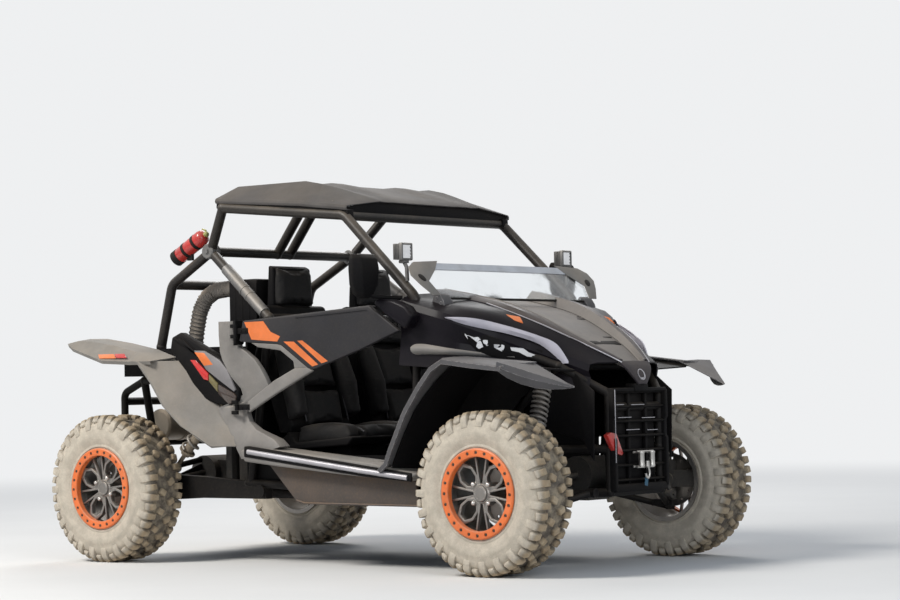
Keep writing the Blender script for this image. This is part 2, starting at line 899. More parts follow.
def dress(piece: bpy.types.Object, finish: Finish) -> bpy.types.Object:
    """Give a piece one finish all over.

    Args:
        piece: The object.
        finish: Its finish.

    Returns:
        The same object.
    """
    material = finish.material()
    if piece.material_slots:
        for holder in piece.material_slots:
            holder.link = "OBJECT"
            holder.material = material
    else:
        piece.data.materials.append(material)
    return piece


def seat_on(piece: bpy.types.Object, body: str, finish: Finish, slot: str, *nodes: str) -> bpy.types.Object:
    """Finish a modelled piece and hang it on its body.

    Args:
        piece: The modelled object.
        body: The body that it moves with.
        finish: Its finish.
        slot: The record's material slot that it belongs to.
        *nodes: CAD nodes that it stands for.

    Returns:
        The same object.
    """
    dress(piece, finish)
    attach(piece, body)
    if nodes:
        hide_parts(*nodes)
    log.info("piece %s rides on %s", piece.name, body)
    return piece


def pair_on(name: str, piece: bpy.types.Object, finish: Finish, slot: str, *nodes: str) -> bpy.types.Object:
    """Finish a left-hand piece with its right-hand twin and hang both on the chassis as one object.

    Args:
        name: The pair's name.
        piece: The left-hand piece.
        finish: Its finish.
        slot: The record's material slot that it belongs to.
        *nodes: CAD nodes that the pair stands for.

    Returns:
        The pair.
    """
    return seat_on(paired(name, piece), "chassis", finish, slot, *nodes)


# Wheels


@dataclass
class Wheels:
    """Four lugged tyres on lock-ring wheels."""

    pitches: int = 23
    tyre_radius: float = 0.349
    half_width: float = 0.1195
    base_radius: float = 0.3275
    lug_tip_half: float = 0.0135
    lug_foot_half: float = 0.0165
    ring_outer: float = 0.1925
    ring_inner: float = 0.156
    ring_face: float = 0.116
    ring_wall: float = 0.010
    bolt_count: int = 24
    spoke_face: float = 0.086
    spoke_depth: float = 0.026
    hub_radius: float = 0.044
    cap_radius: float = 0.033
    nut_circle: float = 0.056
    disc_place: float = -0.036
    # Degrees that the rear wheels have rolled past the front ones
    rear_roll: float = 17.0

    def carcass(self) -> bpy.types.Object:
        """The tyre's body with its bead, ribbed sidewalls and crown.

        Returns:
            The piece, not yet dressed.
        """
        half = (
            (0.1802, 0.0985),
            (0.1860, 0.1036),
            (0.1955, 0.1040),
            (0.1990, 0.1078),
            (0.2060, 0.1082),
            (0.2095, 0.1060),
            (0.2180, 0.1088),
            (0.2320, 0.1150),
            (0.2480, 0.1186),
            (0.2640, 0.1192),
            (0.2660, 0.1178),
            (0.2840, 0.1165),
            (0.2990, 0.1120),
            (0.3110, 0.1040),
            (0.3200, 0.0920),
            (0.3255, 0.0720),
            (self.base_radius, 0.0400),
            (self.base_radius + 0.001, 0.0),
        )
        profile = list(half) + [(radius, -out) for radius, out in reversed(half[:-1])]
        return smoothed(turned("carcass", profile, self.pitches * 4), 40)

    def lug(self, name: str, section: Outline, skew: float, angle: float) -> bpy.types.Object:
        """One tread lug.

        Args:
            name: The lug's name.
            section: Corners as (radius, distance outwards), in the plane through the axle.
            skew: Degrees that the lug is turned about its own radius.
            angle: Degrees round the axle to its place.

        Returns:
            The lug with its tip narrowed and its edges rounded.
        """
        corners = [(radius, out, -self.lug_foot_half) for radius, out in section]
        lug = plate(name, corners, (0, 0, 2 * self.lug_foot_half))
        tip = self.lug_tip_half / self.lug_foot_half
        for vertex in lug.data.vertices:
            if vertex.co.x > self.base_radius + 0.008:
                vertex.co.z *= tip
        bevelled(lug, 0.0026, 2, 40)
        middle = sum(out for radius, out in section) / len(section)
        turn = (
            Matrix.Rotation(math.radians(angle), 4, "Y")
            @ Matrix.Translation((0, middle, 0))
            @ Matrix.Rotation(math.radians(skew), 4, "X")
            @ Matrix.Translation((0, -middle, 0))
        )
        lug.data.transform(turn)
        return lug

    def tyre(self) -> bpy.types.Object:
        """The tyre with all of its lugs.

        Returns:
            The piece, not yet dressed.
        """
        crown, base, side = self.tyre_radius, self.base_radius, self.half_width
        long_lug = (
            (base - 0.010, 0.056), (crown, 0.058), (crown, 0.090), (crown - 0.006, 0.100),
            (0.326, 0.1135), (0.304, side), (0.286, side), (0.280, 0.1165), (0.296, 0.108), (0.310, 0.094),
        )
        short_lug = (
            (base - 0.010, 0.066), (crown - 0.001, 0.068), (crown - 0.001, 0.092), (crown - 0.010, 0.102),
            (0.322, 0.112), (0.314, 0.108), (0.312, 0.090),
        )
        middle_lug = ((base - 0.010, 0.010), (crown, 0.011), (crown, 0.045), (base - 0.010, 0.047))
        pitch = 360 / self.pitches
        lugs = []
        # Lug section, side of the tread, skew and place within the pitch
        for name, section, hand, skew, place in (
            ("long_out", long_lug, 1, 0, 0.0),
            ("short_out", short_lug, 1, 12, 0.5),
            ("middle_out", middle_lug, 1, -28, 0.24),
            ("long_in", long_lug, -1, 0, 0.5),
            ("short_in", short_lug, -1, -12, 0.0),
            ("middle_in", middle_lug, -1, 28, 0.74),
        ):
            one = [(radius, out * hand) for radius, out in section]
            lugs.append(self.lug(name, one, skew, place * pitch))
        one_pitch = joined("lugs", lugs)
        all_lugs = ring_of("lugs", one_pitch, self.pitches, (0, 1, 0))
        return joined("tyre", (self.carcass(), all_lugs))

    def barrel(self) -> bpy.types.Object:
        """The rim's barrel with its flanges.

        Returns:
            The piece, not yet dressed.
        """
        profile = (
            (0.1697, -0.112), (0.1885, -0.112), (0.1890, -0.104), (0.1790, -0.103), (0.1790, 0.092),
            (0.1790, 0.103), (0.1700, 0.106), (0.1650, 0.098), (0.1640, 0.060), (0.1600, 0.050),
            (0.1640, 0.040),
            (0.1690, 0.020), (0.1697, -0.090),
        )
        return smoothed(turned("barrel", profile, 64), 30)

    def petal(self) -> bpy.types.Object:
        """One hexagonal loop of the spider, lying along +X.

        Returns:
            The piece, not yet dressed.
        """
        outer = ((0.030, 0.009), (0.062, 0.040), (0.112, 0.047), (0.158, 0.026))
        inner = ((0.052, 0.006), (0.073, 0.029), (0.110, 0.035), (0.143, 0.015))
        rows = []
        for half in (outer, inner):
            loop = list(half) + [(along, -across) for along, across in reversed(half)]
            rows.append([(along, self.spoke_face, across) for along, across in loop + loop[:1]])
        petal = sheet("petal", rows)
        apply_modifier(petal, "SOLIDIFY", thickness=self.spoke_depth, offset=-1.0)
        for vertex in petal.data.vertices:
            share = (vertex.co.x - 0.05) / 0.1
            vertex.co.y += 0.006 * max(min(share, 1.0), 0.0) - 0.004
        return bevelled(petal, 0.0030, 2, 25)

    def twin_spoke(self) -> bpy.types.Object:
        """Two narrow spokes that part towards the rim, lying along +X.

        Returns:
            The piece, not yet dressed.
        """
        outline = ((0.030, 0.003), (0.030, 0.012), (0.164, 0.036), (0.164, 0.027))
        bars = []
        for hand in (1, -1):
            corners = [(along, self.spoke_face - 0.022, across * hand) for along, across in outline]
            bars.append(bevelled(plate("bar", corners, (0, 0.019, 0)), 0.0022, 2, 25))
        return joined("twin", bars)

    def spider(self) -> bpy.types.Object:
        """The wheel's face: four loops at the diagonals, four twin spokes and the hub.

        Returns:
            The piece, not yet dressed.
        """
        petal = self.petal()
        petal.data.transform(Matrix.Rotation(math.radians(45), 4, "Y"))
        petals = ring_of("petals", petal, 4, (0, 1, 0))
        spokes = ring_of("spokes", self.twin_spoke(), 4, (0, 1, 0))
        back = self.disc_place + 0.010
        hub = turned(
            "hub",
            (
                (0.0, back), (self.hub_radius, back), (self.hub_radius, self.spoke_face - 0.006),
                (self.hub_radius - 0.005, self.spoke_face), (self.cap_radius + 0.002, self.spoke_face),
                (self.cap_radius, self.spoke_face - 0.003), (0.0, self.spoke_face - 0.003),
            ),
            40,
        )
        cap = turned(
            "cap",
            (
                (0.0, self.spoke_face - 0.004), (self.cap_radius, self.spoke_face - 0.004),
                (self.cap_radius, self.spoke_face + 0.005),
                (self.cap_radius - 0.003, self.spoke_face + 0.008),
                (self.cap_radius - 0.007, self.spoke_face + 0.008),
                (self.cap_radius - 0.008, self.spoke_face + 0.0065),
                (0.0, self.spoke_face + 0.0065),
            ),
            40,
        )
        return joined("spider", (petals, spokes, smoothed(hub), smoothed(cap), self.barrel()))

    def lock_ring(self) -> bpy.types.Object:
        """The ring that clamps the tyre's bead, with a pocket for each bolt.

        Returns:
            The piece, not yet dressed.
        """
        face = self.ring_face
        profile = (
            (self.ring_inner, 0.088), (self.ring_inner, face - 0.004),
            (self.ring_inner + 0.003, face - 0.001),
            (self.ring_inner + 0.008, face), (self.ring_outer - 0.006, face),
            (self.ring_outer - 0.001, face - 0.003),
            (self.ring_outer, face - self.ring_wall), (0.170, face - self.ring_wall), (0.168, 0.088),
        )
        ring = turned("lock_ring", profile, 120)
        middle = (self.ring_inner + self.ring_outer) / 2
        pocket = turned("pocket", ((0, -0.004), (0.0075, -0.004), (0.0085, 0.006), (0, 0.006)), 12)
        pocket.data.transform(Matrix.Translation((middle, face, 0)))
        carved(ring, ring_of("pockets", pocket, self.bolt_count, (0, 1, 0)))
        return smoothed(ring, 30)

    def ring_bolts(self) -> bpy.types.Object:
        """Hexagon bolts in the lock ring's pockets.

        Returns:
            The piece, not yet dressed.
        """
        face = self.ring_face
        middle = (self.ring_inner + self.ring_outer) / 2
        head = turned(
            "bolt", ((0, -0.004), (0.0058, -0.004), (0.0058, 0.0002), (0.0046, 0.0012), (0, 0.0012)), 6
        )
        head.data.transform(Matrix.Translation((middle, face - 0.0015, 0)))
        return ring_of("bolts", head, self.bolt_count, (0, 1, 0))

    def nuts(self) -> bpy.types.Object:
        """Domed nuts at the diagonals.

        Returns:
            The piece, not yet dressed.
        """
        top = self.spoke_face + 0.006
        dome = turned(
            "nut",
            ((0, -0.03), (0.0105, -0.03), (0.0105, -0.004), (0.0090, 0.0005), (0.0055, 0.0035), (0, 0.0045)),
            20,
        )
        reach = self.nut_circle / math.sqrt(2)
        dome.data.transform(Matrix.Translation((reach, top, reach)))
        return smoothed(ring_of("nuts", dome, 4, (0, 1, 0)), 50)

    def brake_disc(self) -> bpy.types.Object:
        """The brake disc with its ring of holes.

        Returns:
            The piece, not yet dressed.
        """
        place = self.disc_place
        disc = turned(
            "disc", ((0.044, place), (0.121, place), (0.121, place + 0.005), (0.044, place + 0.005)), 64
        )
        hole = turned("hole", ((0, -0.01), (0.006, -0.01), (0.006, 0.02), (0, 0.02)), 12)
        hole.data.transform(Matrix.Translation((0.1, place, 0)))
        carved(disc, ring_of("holes", hole, 12, (0, 1, 0)))
        return smoothed(disc, 30)

    def build(self) -> None:
        """Model each kind of piece once and give every wheel its own copies."""
        makers = (
            ("tyre", self.tyre, Finish.TYRE, "tyre_rubber"),
            ("rim", self.spider, Finish.ALLOY, "rim_alloy"),
            ("lock_ring", self.lock_ring, Finish.LOCK_RING, "rim_alloy"),
            ("ring_bolts", self.ring_bolts, Finish.DARK_BOLT, "rim_alloy"),
            ("nuts", self.nuts, Finish.FASTENER, "rim_alloy"),
            ("brake_disc", self.brake_disc, Finish.BRAKE, "rim_alloy"),
        )
        for label, maker, finish, slot in makers:
            master = maker()
            for end in ("front", "rear"):
                for side, hand in SIDES:
                    corner = f"{end}_{side}"
                    low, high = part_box("tyre_" + corner)
                    turn = Matrix.Rotation(0 if hand > 0 else math.pi, 4, "Z")
                    roll = Matrix.Rotation(math.radians(self.rear_roll if end == "rear" else 0), 4, "Y")
                    place = Matrix.Translation((low + high) / 2) @ turn @ roll
                    piece = copied(master, f"{label}_{corner}_look", place)
                    stands_for = {"tyre": ["tyre_" + corner], "rim": ["rim_" + corner]}.get(label, [])
                    seat_on(piece, "wheel_" + corner, finish, slot, *stands_for)
            bpy.data.objects.remove(master)


# Body shell


def slab(
    name: str, outline: Outline, near: float, far: float, rounding: float = 0.004, segments: int = 2
) -> bpy.types.Object:
    """Plate with rounded edges, upright and along the machine.

    Args:
        name: The new object's name.
        outline: Corners as (x, z).
        near: Its lowest y.
        far: Its highest y.
        rounding: Width of the bevel on its edges, or 0 for sharp ones.
        segments: Faces across the bevel.

    Returns:
        The plate.
    """
    piece = plate(name, [(x, near, z) for x, z in outline], (0, far - near, 0))
    return bevelled(piece, rounding, segments) if rounding else piece


def eased(rows: Sequence[Sequence[Point]], steps: int = 4) -> list[list[Point]]:
    """Rows with smoothly curving ones put between them.

    Args:
        rows: Rows of points, each as long as the next.
        steps: Rows from one given row to the next.

    Returns:
        All the rows in order.
    """
    last = len(rows) - 1
    result = []
    for index in range(last):
        around = [rows[max(min(index + shift, last), 0)] for shift in (-1, 0, 1, 2)]
        for step in range(steps):
            t = step / steps
            weights = (
                (-t + 2 * t**2 - t**3) / 2,
                (2 - 5 * t**2 + 3 * t**3) / 2,
                (t + 4 * t**2 - 3 * t**3) / 2,
                (t**3 - t**2) / 2,
            )
            result.append(
                [
                    tuple(
                        sum(weight * value for weight, value in zip(weights, values))
                        for values in zip(*points)
                    )
                    for points in zip(*around)
                ]
            )
    return result + [list(rows[last])]


def across(row: Outline, x: float) -> list[Point]:
    """Full section from its left half, given as (y, z) from the middle outwards."""
    half = [(x, y, z) for y, z in row]
    return [(x, -y, z) for x, y, z in reversed(half) if y > 0] + half


# Place along the machine, crease half width and height, edge half width and height, lowest height,
# and how far the edge is drawn in
HOOD_STATIONS = (
    (0.600, 0.420, 1.222, 0.640, 1.186, 0.900, 0.000),
    (0.860, 0.350, 1.165, 0.610, 1.112, 0.880, 0.000),
    (1.040, 0.300, 1.098, 0.560, 1.046, 0.870, 0.085),
    (1.250, 0.215, 0.990, 0.470, 0.962, 0.820, 0.115),
    (1.395, 0.110, 0.900, 0.330, 0.884, 0.770, 0.070),
)


@dataclass
class Hood:
    """Hood with a sunken bed between two ridges, and the nose in front of it."""

    bed_depth: float = 0.026
    bed_share: float = 0.66
    wall: float = 0.006
    nose: Sequence[Point] = (
        (1.396, 0.108, 0.899), (1.420, 0.098, 0.872), (1.436, 0.066, 0.832), (1.443, 0.030, 0.796)
    )
    badge_radius: float = 0.026
    badge_centre: Point = (1.432, 0.0, 0.838)
    badge_axis: Point = (0.90, 0.0, 0.36)
    crease_bead: float = 0.0032
    crease_end: Point = (1.405, 0.104, 0.892)
    # Place along the machine, half width, length and slope of each slot in the bed
    slot_rows: Sequence[tuple[float, float, float, float]] = (
        (1.172, 0.150, 0.010, 0.53), (1.222, 0.134, 0.030, 0.53),
        (0.960, 0.205, 0.016, 0.36), (0.988, 0.200, 0.016, 0.36),
    )
    slot_rise: float = 0.005
    slot_depth: float = 0.005

    def bed(self) -> bpy.types.Object:
        """The sunken bed.

        Returns:
            The piece, not yet dressed.
        """
        rows = []
        for x, crease_y, crease_z, *_ in HOOD_STATIONS:
            half, low = crease_y * self.bed_share, crease_z - self.bed_depth
            rows.append(across(((0, low + 0.004), (half * 0.5, low + 0.003), (half, low)), x))
        return smoothed(sheet("hood_bed", eased(rows), self.wall))

    def ridge(self, name: str, first: int, last: int) -> bpy.types.Object:
        """Part of the left ridge between two lines of its section.

        Args:
            name: The part's name.
            first: Index of the line that it starts from, counted from the bed outwards.
            last: Index of the line that it ends at.

        Returns:
            The part's skin.
        """
        rows = []
        for x, crease_y, crease_z, *_ in HOOD_STATIONS:
            foot, rise = crease_y * self.bed_share, 0.014 if x < 1.2 else 0.006
            section = (
                (foot - 0.002, crease_z - self.bed_depth - 0.002),
                (foot + 0.008, crease_z - self.bed_depth + 0.004),
                (foot + 0.35 * (crease_y - foot), crease_z + rise),
                (foot + 0.75 * (crease_y - foot), crease_z + rise),
                (crease_y, crease_z),
            )
            rows.append([(x, y, z) for y, z in section[first : last + 1]])
        return smoothed(sheet(name, eased(rows), self.wall), 25)

    def crease_line(self) -> bpy.types.Object:
        """The light bead along the crease."""
        route = [(x, crease_y + 0.002, crease_z + 0.001) for x, crease_y, crease_z, *_ in HOOD_STATIONS[1:]]
        return pipe("crease_line", route + [self.crease_end], self.crease_bead, 8, smooth=True)

    def nose_panel(self) -> bpy.types.Object:
        """The V of the nose.

        Returns:
            The piece, not yet dressed.
        """
        rows = [across(((0, z + 0.002), (y * 0.6, z + 0.001), (y, z)), x) for x, y, z in self.nose]
        panel = sheet("nose_panel", eased(rows), 0.010)
        return bevelled(panel, 0.0025)

    def badge_place(self) -> bpy.types.Object:
        """The bare round place on the nose.

        Returns:
            The piece, not yet dressed.
        """
        rim = self.badge_radius
        profile = ((0, 0.001), (0.020, 0.001), (0.022, 0.0045), (rim, 0.0045), (rim, -0.004), (0, -0.004))
        return smoothed(turned("badge_place", profile, 40, self.badge_axis, self.badge_centre))

    def slots(self) -> bpy.types.Object:
        """Dark slots and louvres in the bed.

        Returns:
            The piece, not yet dressed.
        """
        bars = []
        for x, half, length, slope in self.slot_rows:
            z = self.height_at(x) - self.bed_depth + self.slot_rise
            reach, drop = length / 2, slope * length / 2
            back, front = (x - reach, z + drop), (x + reach, z - drop)
            places = ((back, -half), (back, half), (front, half), (front, -half))
            corners = [(along, y, height) for (along, height), y in places]
            bars.append(bevelled(plate("slot", corners, (0, 0, -self.slot_depth)), 0.0015))
        return joined("hood_slots", bars)

    def height_at(self, x: float) -> float:
        """Height of the crease at a place along the machine.

        Args:
            x: Place along the machine.

        Returns:
            The height.
        """
        for (x0, _, z0, *_), (x1, _, z1, *_) in zip(HOOD_STATIONS, HOOD_STATIONS[1:]):
            if x <= x1:
                return z0 + (z1 - z0) * (x - x0) / (x1 - x0)
        return HOOD_STATIONS[-1][2]

    def build(self) -> None:
        """Model and dress the hood."""
        seat_on(self.bed(), "chassis", Finish.HOOD, "hood_plastic", "hood")
        pair_on("ridge_walls", self.ridge("ridge_wall", 0, 2), Finish.HOOD, "hood_plastic")
        pair_on("hood_ridges", self.ridge("hood_ridge", 2, 4), Finish.RIDGE, "hood_plastic")
        pair_on("crease_lines", self.crease_line(), Finish.SILVER, "hood_plastic")
        seat_on(self.nose_panel(), "chassis", Finish.RIDGE, "hood_plastic")
        seat_on(self.badge_place(), "chassis", Finish.SILVER, "bright_steel")
        seat_on(self.slots(), "chassis", Finish.BLACK, "black_plastic")


@dataclass
class FrontSides:
    """Side panels of the front end with their light strip, headlamp, marker and side bar."""

    wall: float = 0.007
    # How far an edge goes back and up for each metre that it is drawn in
    rake: float = 0.75
    lift: float = 0.018
    strip_crown: Point = (0.001, 0.008, 0.002)
    marker_corners: Sequence[Point] = (
        (0.985, 0.372, 1.094), (1.047, 0.352, 1.081), (1.078, 0.372, 1.056), (1.024, 0.394, 1.068),
    )
    marker_depth: Point = (0.003, 0.009, 0.020)
    # Outline of the headlamp's housing as (x, z), how far it reaches in from the panel and its depth
    housing: Outline = (
        (0.905, 1.036), (0.995, 1.026), (1.121, 0.990), (1.250, 0.950), (1.262, 0.912), (1.100, 0.914),
        (0.985, 0.942),
    )
    housing_reach: float = 0.030
    housing_depth: float = 0.034
    strip_top: Sequence[Point] = (
        (0.838, 0.614, 1.103), (0.925, 0.597, 1.100), (1.014, 0.573, 1.086), (1.138, 0.527, 1.050),
        (1.247, 0.480, 1.010), (1.301, 0.430, 0.972), (1.338, 0.392, 0.890),
    )
    strip_low: Sequence[Point] = (
        (0.838, 0.614, 1.098), (0.930, 0.598, 1.068), (1.020, 0.572, 1.046), (1.120, 0.536, 1.022),
        (1.227, 0.490, 0.984), (1.278, 0.452, 0.942), (1.318, 0.414, 0.888),
    )
    # Outline of each lens block as (x, z)
    shards: Sequence[Outline] = (
        ((0.927, 1.029), (0.937, 1.023), (0.943, 1.002), (0.933, 1.014)),
        ((0.938, 1.023), (0.969, 1.011), (0.988, 1.013), (1.001, 0.999), (0.984, 0.985), (0.964, 1.002)),
        ((0.984, 0.994), (1.001, 0.996), (1.012, 0.966), (0.992, 0.957), (0.977, 0.969)),
        ((1.007, 0.998), (1.031, 1.000), (1.044, 0.988), (1.031, 0.970), (1.011, 0.982)),
        ((1.018, 0.976), (1.052, 0.982), (1.084, 0.975), (1.073, 0.960), (1.041, 0.956)),
        ((1.050, 0.962), (1.084, 0.966), (1.095, 0.944), (1.069, 0.943)),
        ((1.086, 0.978), (1.101, 0.973), (1.095, 0.947), (1.082, 0.955)),
        (
            (1.121, 0.966), (1.175, 0.960), (1.198, 0.940), (1.225, 0.930), (1.225, 0.915), (1.191, 0.920),
            (1.159, 0.939), (1.127, 0.947),
        ),
    )
    # Place along the machine, top and foot of the side bar
    side_bar: Sequence[tuple[float, float, float]] = (
        (0.668, 0.984, 0.952), (0.690, 0.990, 0.944), (0.740, 0.988, 0.944), (0.860, 0.968, 0.940),
        (1.000, 0.946, 0.932), (1.140, 0.926, 0.920),
    )

    def skin(self) -> bpy.types.Object:
        """The left side panel, from the crease over the edge and down.

        Returns:
            The piece, not yet dressed.
        """
        rows = []
        for x, crease_y, crease_z, edge_y, edge_z, low, _ in HOOD_STATIONS:
            width = edge_y - crease_y
            section = (
                (crease_y + 0.004, crease_z - 0.004),
                (crease_y + 0.35 * width, crease_z - 0.004 + 0.12 * (edge_z - crease_z)),
                (crease_y + 0.75 * width, crease_z + 0.45 * (edge_z - crease_z)),
                (edge_y - 0.006, edge_z),
                (edge_y + 0.004, edge_z - 0.030),
                (edge_y - 0.012, 0.5 * (edge_z + low)),
                (edge_y + 0.010, low),
            )
            rows.append([(x, y, z) for y, z in section])
        return smoothed(sheet("side_skin", eased(rows), self.wall), 22)

    def strip(self) -> bpy.types.Object:
        """The light strip that curves down to the nose.

        Returns:
            The piece, not yet dressed.
        """
        middle = [
            tuple((a + b) / 2 + shift for a, b, shift in zip(top, low, self.strip_crown))
            for top, low in zip(self.strip_top, self.strip_low)
        ]
        rows = [list(row) for row in zip(self.strip_top, middle, self.strip_low)]
        return smoothed(sheet("light_strip", eased(rows), 0.004), 50)

    def marker(self) -> bpy.types.Object:
        """The orange marker lamp on the side panel."""
        return bevelled(plate("marker", self.marker_corners, self.marker_depth), 0.003)

    def lamp_housing(self) -> bpy.types.Object:
        """The dark housing round the headlamp's lenses."""
        corners = [(x, self.side_y(x) - self.housing_reach, z) for x, z in self.housing]
        return bevelled(plate("lamp_housing", corners, (0, self.housing_depth, 0)), 0.004)

    def side_y(self, x: float) -> float:
        """Half width of the side panel at a place along the machine.

        Args:
            x: Place along the machine.

        Returns:
            The half width.
        """
        for (x0, _, _, y0, *_), (x1, _, _, y1, *_) in zip(HOOD_STATIONS, HOOD_STATIONS[1:]):
            if x <= x1:
                return y0 + (y1 - y0) * (x - x0) / (x1 - x0)
        return HOOD_STATIONS[-1][3]

    def drawn_in(self, piece: bpy.types.Object) -> bpy.types.Object:
        """Draw a left piece in and back towards the nose, by its distance outside the crease.

        Args:
            piece: The piece, still on the straight-sided plan.

        Returns:
            The same piece.
        """
        for vertex in piece.data.vertices:
            x, y, z = vertex.co
            for (x0, *first), (x1, *second) in zip(HOOD_STATIONS, HOOD_STATIONS[1:]):
                if x <= x1:
                    break
            share = min(max((x - x0) / (x1 - x0), 0.0), 1.0)
            crease_y, _, edge_y, _, _, depth = (a + (b - a) * share for a, b in zip(first, second))
            depth *= min(max((y - crease_y) / (edge_y - crease_y), 0.0), 1.0)
            vertex.co = (x - self.rake * depth, y - depth, z + self.lift * depth)
        return piece

    def lenses(self) -> bpy.types.Object:
        """Irregular facetted lens blocks of the headlamp.

        Returns:
            The piece, not yet dressed.
        """
        blocks = []
        for outline in self.shards:
            corners = [(x, self.side_y(x) + 0.003, z) for x, z in outline]
            lens = plate("lens", corners, (0.002, 0.009, 0.001))
            blocks.append(bevelled(lens, 0.0028, 1))
        return joined("headlamp_lenses", blocks)

    def bar(self) -> bpy.types.Object:
        """The light bar along the panel's lower edge.

        Returns:
            The piece, not yet dressed.
        """
        rows = []
        for x, top, low in self.side_bar:
            y = self.side_y(x) + 0.006
            height = top - low
            swell = 0.45 * height
            rows.append(
                [
                    (x, y, top),
                    (x, y + 0.8 * swell, top - 0.22 * height),
                    (x, y + swell, top - 0.5 * height),
                    (x, y + 0.7 * swell, low + 0.22 * height),
                    (x, y, low),
                ]
            )
        return smoothed(sheet("side_bar", eased(rows), 0.004), 50)

    def build(self) -> None:
        """Model and dress the side panels."""
        pair_on("front_side_skins", self.drawn_in(self.skin()), Finish.GLOSS, "gloss_panel", "front_sides")
        pair_on("light_strips", self.drawn_in(self.strip()), Finish.LILAC, "gloss_panel")
        pair_on("marker_lamps", self.drawn_in(self.marker()), Finish.ORANGE, "lamp_lens")
        pair_on(
            "lamp_housings", self.drawn_in(self.lamp_housing()), Finish.BLACK, "black_plastic", "headlamps"
        )
        pair_on("headlamp_lenses", self.drawn_in(self.lenses()), Finish.CHROME, "lamp_lens")
        pair_on("side_bars", self.drawn_in(self.bar()), Finish.BODY, "body_plastic")


